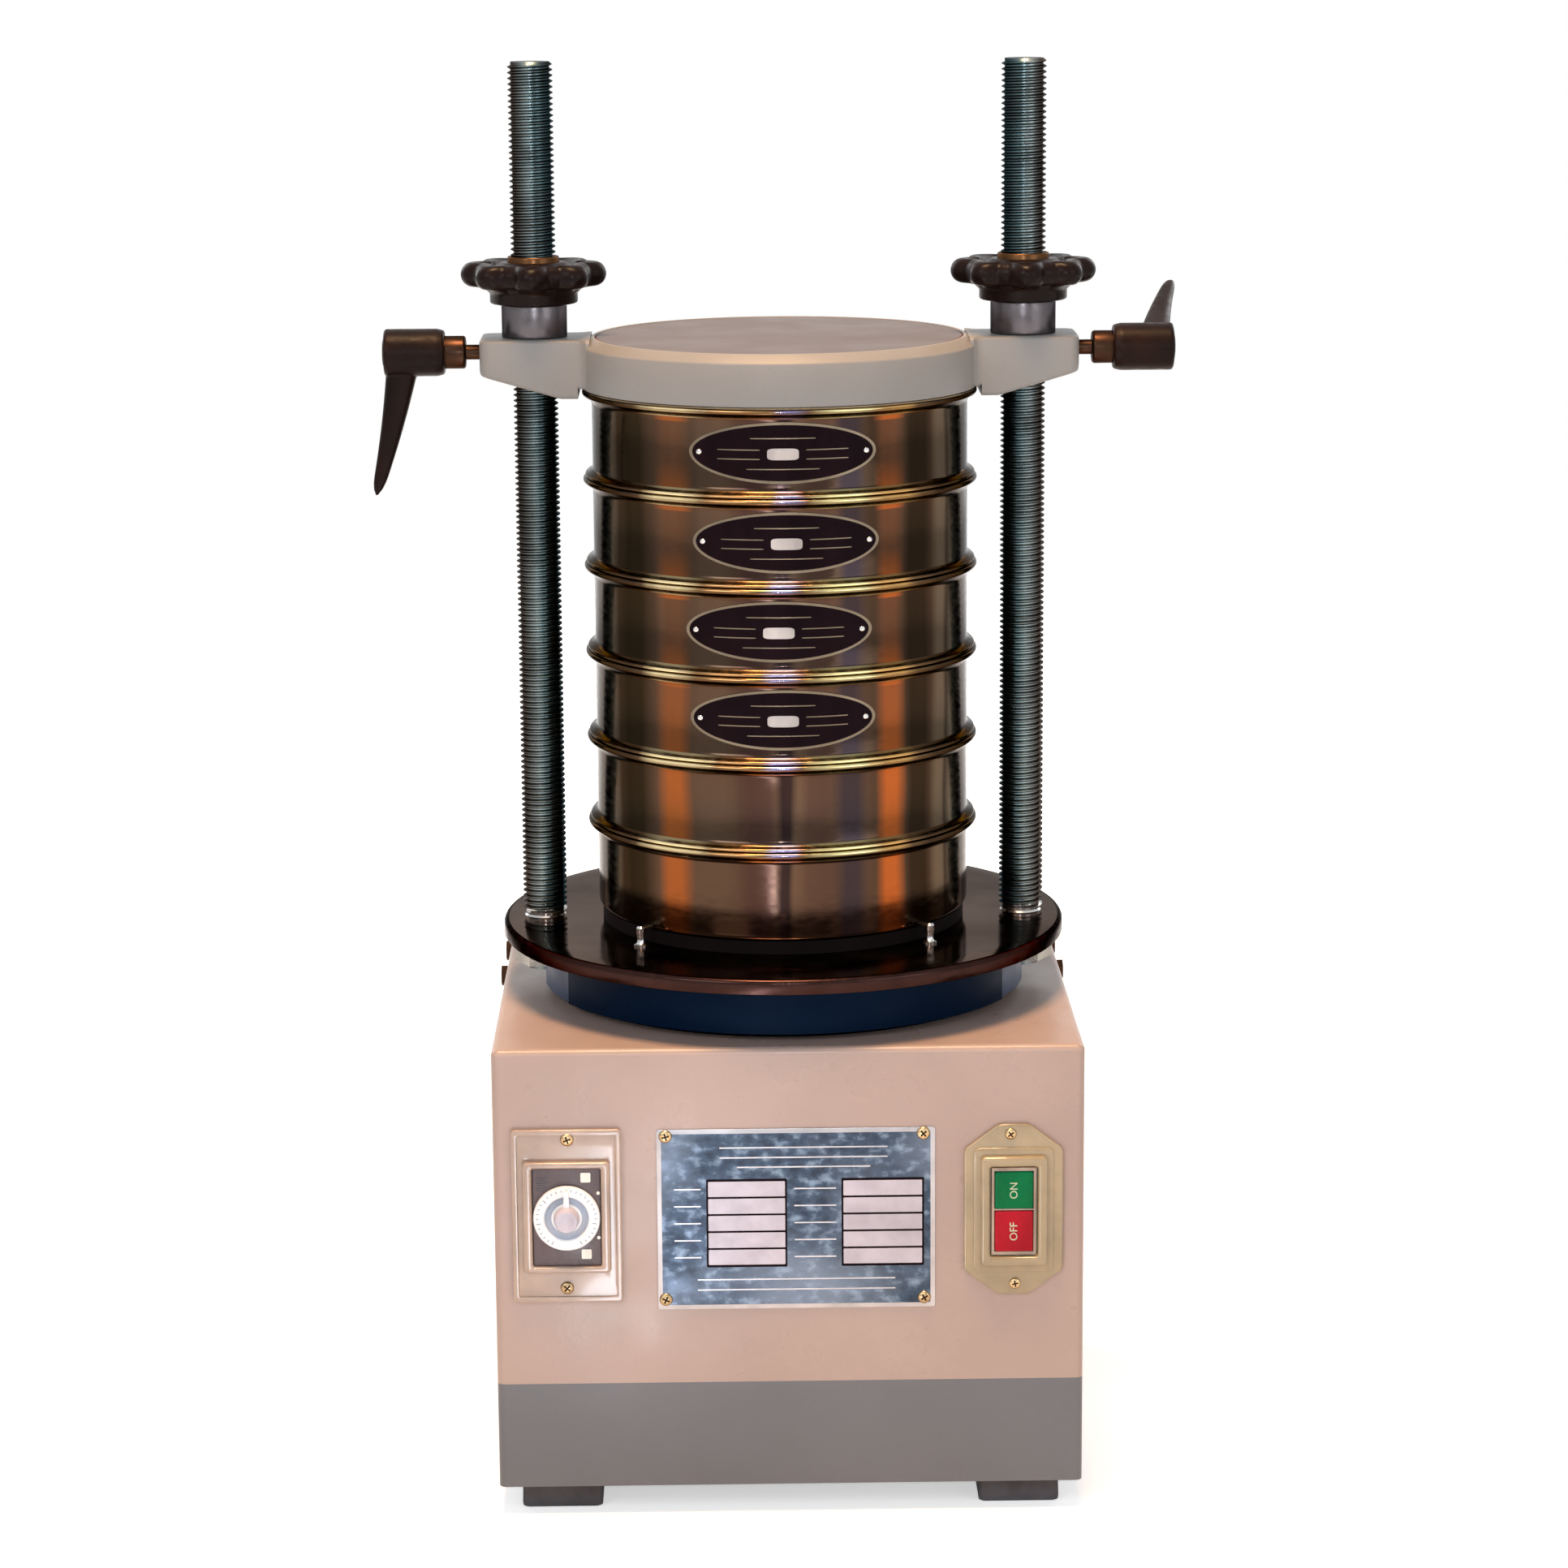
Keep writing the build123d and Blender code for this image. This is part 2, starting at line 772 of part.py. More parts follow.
def motor_frame():
    inner_r = motor_r - motor_wall
    web_low = web_top - web_lip - bearing_t
    outline = [
        (inner_r, motor_low + shield_t),
        (motor_r, motor_low + shield_t),
        (motor_r, motor_flange_low),
        (motor_flange_r, motor_flange_low),
        (motor_flange_r, plate_low),
        (inner_r, plate_low),
        (inner_r, web_top),
        (shaft_hole_r, web_top),
        (shaft_hole_r, web_top - web_lip),
        (bearing_r, web_top - web_lip),
        (bearing_r, web_low),
        (inner_r, web_low),
    ]
    frame = turned(outline)
    for x, y, _ in motor_bolt_places():
        frame -= Pos(x, y, 0) * disc(bolt_r, motor_flange_low, plate_low)
    return frame


def motor_shield():
    inner_r = motor_r - motor_wall
    seat_top = motor_low + shield_t + bearing_t
    outline = [
        (shaft_hole_r, motor_low),
        (motor_r, motor_low),
        (motor_r, motor_low + shield_t),
        (inner_r, motor_low + shield_t),
        (inner_r, seat_top),
        (bearing_r, seat_top),
        (bearing_r, seat_top - bearing_t),
        (shaft_hole_r, seat_top - bearing_t),
    ]
    return turned(outline)


def bearing_levels():
    return [web_top - web_lip - bearing_t, motor_low + shield_t]


def motor_bearings():
    return [ring(bearing_r, shaft_r + running_gap, low, low + bearing_t) for low in bearing_levels()]


def core_low():
    upper, lower = bearing_levels()
    return (upper + lower + bearing_t) / 2 - core_len / 2


def motor_stator():
    low = core_low()
    return ring(motor_r - motor_wall, core_r + stator_gap, low, low + core_len)


def motor_shaft():
    low = motor_low - weight_t - 2 * weight_clear
    high = plate_low - weight_clear
    return disc(shaft_r, low, high) + disc(core_r, core_low(), core_low() + core_len)


def eccentric_weight(low):
    half = Circle(weight_r) & Pos(0, weight_r) * Rectangle(2 * weight_r, 2 * weight_r)
    outline = half + Circle(weight_boss_r) - Circle(shaft_r)
    return extrude(Plane.XY.offset(low) * outline, amount=weight_t)


def upper_weight():
    return eccentric_weight(web_top + weight_clear)


def lower_weight():
    return eccentric_weight(motor_low - weight_clear - weight_t)


def motor_bolts():
    head = extrude(Plane.XY.offset(motor_flange_low - bolt_head_h) * hexagon(bolt_across), amount=bolt_head_h)
    bolt = head + disc(bolt_r, motor_flange_low, plate_low + bolt_bite)
    return [Pos(x, y, 0) * bolt for x, y, _ in motor_bolt_places()]


# Front panel
def timer_bezel():
    flat = Rectangle(timer_w, timer_h)
    raised = Rectangle(frame_w, frame_h)
    window = Rectangle(face_w, face_h)
    bezel = extrude(flat - window, amount=bezel_t)
    bezel += Pos(0, 0, bezel_t) * extrude(raised - window, amount=frame_rise)
    return from_front(bezel, timer_x, timer_z)


def timer_body():
    face_level = bezel_t + frame_rise - face_sink
    depth = timer_body_depth
    body = Pos(0, 0, (face_level - depth) / 2) * Box(face_w - 2 * slip_gap, face_h - 2 * slip_gap, face_level + depth)
    body -= Pos(0, 0, face_level) * Cylinder(spindle_r + running_gap, 2 * spindle_len)
    return from_front(body, timer_x, timer_z)


def timer_knob():
    face_level = bezel_t + frame_rise - face_sink + slip_gap
    base = (Align.CENTER, Align.CENTER, Align.MIN)
    knob = Cylinder(knob_r, knob_rise, align=base)
    knob = chamfer(knob.faces().sort_by(Axis.Z)[-1].edges(), knob_rise / 3)
    knob += Cylinder(knob_hub_r, knob_hub_rise, align=base)
    knob += Cylinder(spindle_r, spindle_len, align=(Align.CENTER, Align.CENTER, Align.MAX))
    knob += Pos(0, knob_hub_r, knob_rise) * Box(knob_grip_w, knob_r, knob_rise, align=base)
    return from_front(Pos(0, 0, face_level) * knob, timer_x, timer_z)


def switch_outline():
    half_w = switch_w / 2
    half_h = switch_h / 2
    side_h = switch_side_h / 2
    neck = switch_neck_w / 2
    corners = [
        (half_w, -side_h),
        (half_w, side_h),
        (neck, half_h),
        (-neck, half_h),
        (-half_w, side_h),
        (-half_w, -side_h),
        (-neck, -half_h),
        (neck, -half_h),
    ]
    return make_face(Polyline(*corners, close=True))


def switch_plate():
    window = Rectangle(switch_window_w, switch_window_h)
    plate = extrude(switch_outline() - window, amount=switch_t)
    raised = Rectangle(switch_frame_w, switch_frame_h) - window
    plate += Pos(0, 0, switch_t) * extrude(raised, amount=switch_frame_rise)
    return from_front(plate, switch_x, switch_z)


def button_levels():
    """Middle heights of the two buttons above the switch's middle, and their heights."""
    total = green_h + button_split + red_h
    green_middle = total / 2 - green_h / 2
    red_middle = -total / 2 + red_h / 2
    return [(green_middle, green_h), (red_middle, red_h)]


def button_face():
    return switch_t + switch_frame_rise - button_recess


def switch_body():
    width = switch_window_w - 2 * slip_gap
    height = switch_window_h - 2 * slip_gap
    high = button_face() - button_recess
    body = Pos(0, 0, (high - switch_body_depth) / 2) * Box(width, height, high + switch_body_depth)
    for middle, tall in button_levels():
        pocket = Box(
            button_w + 2 * slip_gap,
            tall + 2 * slip_gap,
            2 * (button_len + button_travel + slip_gap),
        )
        body -= Pos(0, middle, button_face()) * pocket
    return from_front(body, switch_x, switch_z)


def button(which):
    middle, tall = button_levels()[which]
    cap = Box(button_w, tall, button_len, align=(Align.CENTER, Align.CENTER, Align.MAX))
    cap = chamfer(cap.faces().sort_by(Axis.Z)[-1].edges(), button_chamfer)
    return from_front(Pos(0, middle, button_face()) * cap, switch_x, switch_z)


def rating_plate():
    return from_front(extrude(Rectangle(rating_w, rating_h), amount=rating_t), rating_x, rating_z)


# Cable gland
def cable_gland():
    base = (Align.CENTER, Align.CENTER, Align.MIN)
    body = extrude(hexagon(gland_hex_across), amount=gland_hex_h)
    body += Pos(0, 0, gland_hex_h) * Cylinder(gland_cap_r, gland_cap_h, align=base)
    nut_low = -house_sheet - gland_nut_h
    body += disc(gland_thread_r - running_gap, nut_low - gland_tail, 0)
    body -= disc(gland_bore_r, nut_low - gland_tail, gland_hex_h + gland_cap_h)
    nut = Pos(0, 0, nut_low) * extrude(hexagon(gland_hex_across) - Circle(gland_thread_r), amount=gland_nut_h)
    return [from_rear(piece, gland_x, gland_z) for piece in (body, nut)]


def main():
    os.makedirs("parts", exist_ok=True)
    save("base_pan", base_pan())
    save("housing_cover", housing_cover())
    save("rubber_feet", rubber_feet())
    save("deck_plate", deck_plate())
    save("deck_posts", deck_posts())
    save("cover_screws", cover_screws())
    save("lower_spring_cups", spring_cups(deck_top))
    save("upper_spring_cups", spring_cups(plate_low - spring_cup_t))
    save("rubber_springs", rubber_springs())
    save("vibrating_plate", vibrating_plate())
    save("tray", tray())
    save("skirt_segments", skirt_segments())
    save("skirt_guards", skirt_guards())
    save("rod_nuts", rod_nuts())
    save("lock_washers", lock_washers())
    save("pan_seat", pan_seat())
    save("receiver_pan", receiver_pan())
    for number in range(1, sieve_count + 1):
        save("sieve_" + str(number), sieve_frame(number))
    save("sieve_meshes", sieve_meshes())
    save("sieve_labels", sieve_labels())
    save("stack_lid", stack_lid())
    save("pan_clips", pan_clips())
    save("clamp_hoop", clamp_hoop())
    save("press_disc", press_disc())
    save("guide_sleeves", guide_sleeves())
    for name, side in (("left", -1), ("right", 1)):
        save(name + "_rod", Pos(side * rod_x, 0, 0) * rod())
        save(name + "_handwheel", handwheel(side))
        save(name + "_wheel_insert", wheel_insert(side))
        save(name + "_lever", lever(side))
        save(name + "_lever_stud", lever_stud(side))
    save("motor_frame", motor_frame())
    save("motor_shield", motor_shield())
    save("motor_bearings", motor_bearings())
    save("motor_stator", motor_stator())
    save("motor_bolts", motor_bolts())
    save("motor_shaft", motor_shaft())
    save("upper_weight", upper_weight())
    save("lower_weight", lower_weight())
    save("timer_bezel", timer_bezel())
    save("timer_body", timer_body())
    save("timer_knob", timer_knob())
    save("switch_plate", switch_plate())
    save("switch_body", switch_body())
    save("on_button", button(0))
    save("off_button", button(1))
    save("rating_plate", rating_plate())
    save("cable_gland", cable_gland())


if __name__ == "__main__":
    main()
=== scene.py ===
import math

import bmesh
import bpy
from mathutils import Matrix, Vector

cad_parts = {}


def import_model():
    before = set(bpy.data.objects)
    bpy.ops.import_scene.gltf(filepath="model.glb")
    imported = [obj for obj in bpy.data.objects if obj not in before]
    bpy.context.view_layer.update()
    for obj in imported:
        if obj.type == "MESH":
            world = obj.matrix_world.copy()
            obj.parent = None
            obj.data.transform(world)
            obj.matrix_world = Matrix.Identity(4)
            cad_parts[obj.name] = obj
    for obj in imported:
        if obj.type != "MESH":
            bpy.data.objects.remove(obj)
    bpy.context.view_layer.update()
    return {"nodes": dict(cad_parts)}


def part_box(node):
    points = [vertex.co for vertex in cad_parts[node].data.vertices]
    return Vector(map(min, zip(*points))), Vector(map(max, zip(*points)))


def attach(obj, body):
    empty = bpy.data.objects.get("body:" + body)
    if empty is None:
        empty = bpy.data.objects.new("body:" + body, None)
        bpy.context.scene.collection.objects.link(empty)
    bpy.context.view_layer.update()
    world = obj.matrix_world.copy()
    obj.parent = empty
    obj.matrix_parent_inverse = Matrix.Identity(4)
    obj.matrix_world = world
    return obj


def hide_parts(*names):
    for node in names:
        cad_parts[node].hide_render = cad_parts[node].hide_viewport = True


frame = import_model()

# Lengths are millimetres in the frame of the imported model. Those of materials and lamps are metres.
MM = 0.001
FRONT = -145.0
FRONT_SIDE_TURN = Matrix.Rotation(math.radians(90), 4, "X")


def corners(node):
    """Lowest and highest corner of a CAD node in millimetres."""
    low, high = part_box(node)
    return [c / MM for c in low], [c / MM for c in high]


# Places read from the frame, and two lengths that several pieces share
HOOP_OVER_TRAY = 290.8
THREAD_CREST = 12.0
TABLE_TOP = corners("tray")[1][2]
HOOP_LOW = TABLE_TOP + HOOP_OVER_TRAY
HOOP_TOP = corners("press_disc")[1][2]
ROD_X = (corners("right_rod")[0][0] + corners("right_rod")[1][0]) / 2


# Colours
def srgb(red, green, blue):
    """Linear colour of an 8-bit display colour."""
    linear = []
    for channel in (red, green, blue):
        share = channel / 255
        linear.append(share / 12.92 if share <= 0.04045 else ((share + 0.055) / 1.055) ** 2.4)
    return (*linear, 1.0)


CREAM = srgb(164, 144, 136)
PAN_GREY = srgb(98, 100, 106)
HOOP_GREY = srgb(132, 131, 130)
DISC_GREY = srgb(96, 96, 104)
NAVY = srgb(1, 20, 42)
SKIRT_BLUE = srgb(44, 58, 86)
MOULDED_BLACK = srgb(19, 10, 9)
ZINC = srgb(120, 136, 140)
STEEL = srgb(150, 148, 152)
RUBBER = srgb(86, 84, 88)
PLATE_BLUE = srgb(52, 68, 88)
PLATE_PALE = srgb(168, 162, 172)
BEZEL_BEIGE = srgb(196, 172, 156)
SWITCH_CREAM = srgb(186, 166, 128)
BUTTON_GREEN = srgb(0, 104, 60)
BUTTON_RED = srgb(164, 22, 38)
DIAL_WHITE = srgb(238, 240, 244)
FACE_BROWN = srgb(92, 82, 86)
LABEL_BLACK = srgb(20, 9, 14)
LABEL_EDGE = srgb(118, 106, 90)


# Materials
class Tree:
    """A node tree, with one way to add a node."""

    def __init__(self, owner):
        owner.use_nodes = True
        self.nodes = owner.node_tree.nodes
        self.links = owner.node_tree.links

    def feed(self, node, slot, value):
        """Link an input to a socket, or give it a plain value."""
        if isinstance(value, bpy.types.NodeSocket):
            self.links.new(value, node.inputs[slot])
        else:
            node.inputs[slot].default_value = value

    def add(self, kind, feeds, **settings):
        """Outputs of a new node with these inputs and settings."""
        node = self.nodes.new("ShaderNode" + kind)
        for setting, value in settings.items():
            setattr(node, setting, value)
        for slot, value in feeds.items():
            self.feed(node, slot, value)
        return node.outputs

    def math(self, operation, first, second=0.0):
        return self.add("Math", {0: first, 1: second}, operation=operation)[0]

    def spread(self, value, from_low, from_high, to_low, to_high):
        """Carry a value from one range to another, held at both ends."""
        ends = {"From Min": from_low, "From Max": from_high, "To Min": to_low, "To Max": to_high}
        return self.add("MapRange", {"Value": value, **ends})["Result"]


class Finish(Tree):
    """A material with one Principled shader, driven from the piece's own coordinates."""

    def __init__(self, name, color, roughness, metallic=0.0, gloss_level=0.5, edge_tint=1.0):
        self.material = bpy.data.materials.new(name)
        super().__init__(self.material)
        self.shader = self.nodes["Principled BSDF"]
        self.set("Base Color", color)
        self.set("Roughness", roughness)
        self.set("Metallic", metallic)
        self.set("Specular IOR Level", gloss_level)
        self.set("Specular Tint", (edge_tint, edge_tint, edge_tint, 1.0))
        self.coords = self.add("TexCoord", {})["Object"]
        self.last_bump = None

    def set(self, socket, value):
        self.feed(self.shader, socket, value)

    def axes(self):
        """X, Y and Z of the piece's own coordinates, in metres."""
        return self.add("SeparateXYZ", {0: self.coords})

    def noise(self, scale, detail=3.0, stretch=(1, 1, 1)):
        """Grey noise whose grain is about 1 / scale metres."""
        place = self.add("Mapping", {"Scale": stretch, "Vector": self.coords})[0]
        return self.add("TexNoise", {"Scale": scale, "Detail": detail, "Vector": place})["Fac"]

    def ramp(self, value, stops):
        """Colour ramp from (place, colour) stops."""
        color = self.add("ValToRGB", {"Fac": value})["Color"]
        elements = color.node.color_ramp.elements
        for index, (place, stop) in enumerate(stops):
            element = elements[index] if index < 2 else elements.new(place)
            element.position = place
            element.color = stop
        return color

    def mix(self, share, first, second):
        return self.add("Mix", {0: share, 6: first, 7: second}, data_type="RGBA")[2]

    def side_angle(self, sway):
        """Degrees round the Z axis, 0 at the front and at the back, and 90 at the right side."""
        x, y, _ = self.axes()
        depth = self.math("ABSOLUTE", y)
        degrees = self.math("MULTIPLY", self.math("ARCTAN2", x, depth), 180 / math.pi)
        return self.math("ADD", degrees, sway)

    def bands(self, color, degrees, bands, strength=1.0):
        """Lay soft upright bands over a colour. Each is its middle, half width and colour."""
        for middle, half, band in bands:
            away = self.math("ABSOLUTE", self.math("SUBTRACT", degrees, float(middle)))
            share = self.spread(away, half * 0.45, half * 1.35, 0.95, 0.0)
            color = self.mix(self.math("MULTIPLY", share, strength), color, band)
        return color

    def color(self, value):
        self.set("Base Color", value)

    def roughness(self, value):
        self.set("Roughness", value)

    def clouds(self, noise, low, high):
        """Base colour that drifts between two colours."""
        self.color(self.ramp(noise, [(0.3, low), (0.7, high)]))

    def worn(self, noise, low, high):
        """Roughness that drifts between two levels."""
        self.roughness(self.spread(noise, 0.3, 0.7, low, high))

    def bump(self, height, distance, strength=1.0):
        """Add a layer of bump, with its depth in metres."""
        feeds = {"Height": height, "Distance": distance, "Strength": strength}
        if self.last_bump:
            feeds["Normal"] = self.last_bump
        self.last_bump = self.add("Bump", feeds)["Normal"]
        self.set("Normal", self.last_bump)


def shade(color, factor):
    return (*[min(1.0, channel * factor) for channel in color[:3]], 1.0)


def enamel(name, color, gloss=0.32, peel=1.0, dirt=0.88, gloss_level=0.4):
    """Stoved paint with orange peel, faint clouds and small dust specks."""
    finish = Finish(name, color, gloss, gloss_level=gloss_level)
    clouds = finish.noise(9, 4)
    base = finish.ramp(clouds, [(0.3, shade(color, dirt)), (0.7, shade(color, 1.06))])
    specks = finish.ramp(finish.noise(900, 2), [(0.70, (0, 0, 0, 1)), (0.78, (1, 1, 1, 1))])
    finish.color(finish.mix(specks, base, shade(color, 0.72)))
    finish.worn(finish.noise(30, 3), gloss - 0.05, gloss + 0.10)
    finish.bump(finish.noise(420, 2), 0.00012 * peel, 0.5)
    finish.bump(finish.noise(14, 2), 0.0012 * peel, 0.35)
    return finish.material


def moulded(name, color, gloss=0.3, grain=0.00005, warm=None, gloss_level=0.25):
    """Moulded plastic with a fine texture and slight flow marks."""
    finish = Finish(name, color, gloss, gloss_level=gloss_level)
    flow = finish.noise(60, 3, stretch=(1, 1, 0.35))
    finish.clouds(flow, shade(color, 0.75), warm or shade(color, 1.3))
    finish.worn(finish.noise(220, 2), gloss - 0.06, gloss + 0.12)
    finish.bump(finish.noise(1500, 2), grain, 0.6)
    return finish.material


def turned_metal(
    name, color, roughness=0.3, line_scale=2600, line_depth=0.00002, stain=0.75, edge_tint=0.5
):
    """Metal with fine lines round its axis and a light uneven tone."""
    finish = Finish(name, color, roughness, 1.0, edge_tint=edge_tint)
    stains = finish.noise(45, 4)
    finish.color(finish.ramp(stains, [(0.3, shade(color, stain)), (0.72, shade(color, 1.12))]))
    finish.worn(finish.noise(160, 3), roughness - 0.06, roughness + 0.12)
    finish.bump(finish.noise(line_scale, 2, stretch=(0.02, 0.02, 1)), line_depth, 0.5)
    return finish.material


def zinc_thread():
    """Zinc plating with a painted reflection across each rod: dark teal-grey on the side that faces the
    stack, a pale painted highlight down the middle, and brown-grey on the outer side.
    """
    finish = Finish("zinc_thread", ZINC, 0.3, 1.0, edge_tint=0.4)
    x = finish.axes()[0]
    across = finish.math("SUBTRACT", finish.math("ABSOLUTE", x), ROD_X * MM)
    place = finish.spread(across, -THREAD_CREST * MM, THREAD_CREST * MM, 0, 1)
    teal, painted_highlight = srgb(84, 104, 108), srgb(134, 148, 150)
    # Painted reflection across each rod, from the side facing the stack to the outer side, with a painted
    # highlight down the middle
    stops = [(0.1, srgb(44, 60, 64)), (0.4, teal), (0.55, painted_highlight), (0.85, srgb(76, 70, 66))]
    painted_reflection = finish.ramp(place, stops)
    oily = finish.ramp(finish.noise(60, 3), [(0.4, (0, 0, 0, 1)), (0.75, (0.6, 0.6, 0.6, 1))])
    finish.color(finish.mix(oily, painted_reflection, srgb(52, 50, 48)))
    finish.worn(finish.noise(90, 2), 0.22, 0.36)
    return finish.material


# Upright bands of painted reflection on the polished walls, over a dark base that is painted reflection too:
# middle and half width in degrees from the front, and colour
WALL_REFLECTION_BASE = srgb(68, 52, 41)
WALL_REFLECTION_BANDS = (
    (-82, 8, srgb(60, 54, 46)),
    (-67, 6, srgb(92, 82, 70)),
    (-51, 7, srgb(30, 24, 14)),
    (-22, 8, srgb(72, 57, 46)),
    (-8, 6, srgb(58, 41, 37)),
    (0, 2.5, srgb(26, 18, 23)),
    (10, 6, srgb(66, 49, 41)),
    (20, 4, srgb(44, 38, 44)),
    (45, 6.5, srgb(27, 20, 12)),
    (56, 4, srgb(84, 73, 60)),
    (60, 2, srgb(46, 38, 32)),
    (66, 5, srgb(104, 94, 80)),
    (80, 8, srgb(44, 37, 37)),
)
# Warm upright bands of painted reflection, laid on low in each sieve and in the lower sieves
WARM_REFLECTION_BANDS = (
    (-35, 5, srgb(122, 68, 33)),
    (34, 4.5, srgb(142, 74, 33)),
)


def polished_wall():
    """Spun and polished stainless sheet. Its colour holds painted reflections: a dark base with dark, pale
    and warm upright bands.
    """
    finish = Finish("polished_wall", WALL_REFLECTION_BASE, 0.16, 1.0, edge_tint=0.5)
    z = finish.axes()[2]
    sway = finish.spread(finish.noise(30, 2, stretch=(1, 1, 0.3)), 0, 1, -3.0, 3.0)
    degrees = finish.side_angle(sway)
    reflection_streaks = finish.noise(34, 3, stretch=(1, 1, 0.04))
    # Painted reflection: dark and pale upright streaks round the dark base colour
    base = finish.ramp(reflection_streaks, [(0.3, srgb(48, 37, 28)), (0.5, WALL_REFLECTION_BASE), (0.72, srgb(86, 69, 55))])
    color = finish.bands(base, degrees, WALL_REFLECTION_BANDS, 0.9)
    stack_low = corners("sieve_1")[0][2] * MM
    pitch = corners("sieve_2")[0][2] * MM - stack_low
    place = finish.math("FRACT", finish.math("DIVIDE", finish.math("SUBTRACT", z, stack_low), pitch))
    # The warm painted reflections are strongest low in each sieve and in the lower sieves
    low_in_sieve = finish.spread(place, 0.22, 0.55, 0.85, 0.15)
    low_in_stack = finish.spread(z, stack_low + pitch, stack_low + 3 * pitch, 1.0, 0.0)
    color = finish.bands(color, degrees, WARM_REFLECTION_BANDS, finish.math("MAXIMUM", low_in_sieve, low_in_stack))
    finish.color(color)
    finish.worn(finish.noise(120, 3, stretch=(1, 1, 3)), 0.1, 0.2)
    finish.bump(finish.noise(3000, 2, stretch=(0.01, 0.01, 1)), 0.00001, 0.4)
    finish.bump(finish.noise(22, 2), 0.0004, 0.4)
    return finish.material


# Painted highlights and reflections on the rolled rims: middle and half width in degrees from the front, and
# colour
RIM_REFLECTION_BANDS = (
    (-56, 12, srgb(64, 50, 38)),
    (-34, 9, srgb(232, 212, 164)),
    (-15, 7, srgb(150, 114, 74)),
    (0, 5, srgb(120, 116, 150)),
    (18, 9, srgb(214, 204, 150)),
    (33, 6, srgb(190, 150, 92)),
    (56, 14, srgb(60, 47, 36)),
    (84, 9, srgb(82, 74, 62)),
    (-84, 9, srgb(82, 74, 62)),
)


def polished_rim(name, dark):
    """Rolled rims with painted highlights and reflections: pale gold bands towards the front and the back,
    and brown towards the sides. A dark rim is darkened further as painted shade.
    """
    base = srgb(116, 90, 62)
    finish = Finish(name, base, 0.16, 1.0, edge_tint=0.4)
    sway = finish.spread(finish.noise(24, 3), 0, 1, -9.0, 9.0)
    color = finish.bands(base, finish.side_angle(sway), RIM_REFLECTION_BANDS)
    # A dark rim carries painted shade, for the downward faces of the rims
    if dark:
        color = finish.mix(0.72, color, srgb(50, 36, 26))
    finish.color(color)
    finish.worn(finish.noise(200, 2), 0.1, 0.24)
    finish.bump(finish.noise(60, 2), 0.0003, 0.4)
    return finish.material


def tray_mirror():
    """Polished tray, its colour darkened to brown as a painted reflection, with wiping marks."""
    color = srgb(112, 94, 86)
    finish = Finish("tray_mirror", color, 0.1, 1.0, edge_tint=0.35)
    finish.clouds(finish.noise(12, 4), srgb(102, 86, 78), srgb(148, 130, 120))
    finish.roughness(finish.spread(finish.noise(40, 4), 0.3, 0.75, 0.05, 0.2))
    finish.bump(finish.noise(9, 2), 0.0006, 0.3)
    return finish.material


def soft_rubber(name, color, roughness=0.8):
    finish = Finish(name, color, roughness, gloss_level=0.05)
    finish.clouds(finish.noise(40, 4), shade(color, 0.7), shade(color, 1.25))
    finish.bump(finish.noise(700, 3), 0.0001, 0.6)
    return finish.material


def clear_moulding(name, color):
    """Pale translucent moulding: it lets some light through, and is glossy outside."""
    finish = Finish(name, color, 0.18)
    finish.set("Transmission Weight", 0.45)
    finish.set("IOR", 1.49)
    finish.set("Coat Weight", 0.6)
    finish.set("Coat Roughness", 0.08)
    finish.clouds(finish.noise(50, 3), shade(color, 0.82), shade(color, 1.1))
    finish.bump(finish.noise(90, 2), 0.0003, 0.3)
    return finish.material


def etched_plate():
    """Etched aluminium ground: blue-grey ink with painted cloudy reflections and a fine brushed grain."""
    finish = Finish("etched_plate", PLATE_BLUE, 0.3, 0.4, gloss_level=0.3)
    mottle = finish.noise(130, 5, stretch=(1, 1, 1.4))
    ink = finish.ramp(mottle, [(0.34, srgb(34, 46, 62)), (0.52, PLATE_BLUE), (0.7, srgb(112, 130, 150))])
    # Painted reflection: pale clouds over the ink
    glow = finish.ramp(finish.noise(13, 3), [(0.42, (0, 0, 0, 1)), (0.72, (0.55, 0.55, 0.55, 1))])
    finish.color(finish.mix(glow, ink, srgb(138, 152, 172)))
    finish.worn(finish.noise(90, 3), 0.22, 0.45)
    finish.bump(finish.noise(1800, 2, stretch=(0.03, 1, 1)), 0.00003, 0.5)
    return finish.material


def bare_plate(name, color, metallic=0.7):
    """Bare brushed aluminium, as left in the cells and the border of the plate."""
    finish = Finish(name, color, 0.35, metallic)
    finish.clouds(finish.noise(60, 3), shade(color, 0.8), shade(color, 1.1))
    finish.bump(finish.noise(1800, 2, stretch=(0.03, 1, 1)), 0.00003, 0.4)
    return finish.material


# Pitch in metres of the wires of the cloth, and of the laminations
WIRE_PITCH = 0.0012
SHEET_PITCH = 0.0014


def wire_cloth():
    """Woven wire, as a fine crossed weave, with painted shade in the low places of the weave."""
    finish = Finish("wire_cloth", STEEL, 0.4, 1.0)
    x, y, _ = finish.axes()
    warp = finish.math("SINE", finish.math("MULTIPLY", x, 2 * math.pi / WIRE_PITCH))
    weft = finish.math("SINE", finish.math("MULTIPLY", y, 2 * math.pi / WIRE_PITCH))
    weave = finish.math("MULTIPLY", warp, weft)
    # Painted shade: darker where the weave is low, lighter where it is high
    light = finish.spread(weave, -1, 1, 0, 1)
    finish.color(finish.ramp(light, [(0.2, srgb(60, 60, 60)), (0.8, srgb(170, 170, 165))]))
    finish.bump(weave, 0.0003, 0.8)
    return finish.material


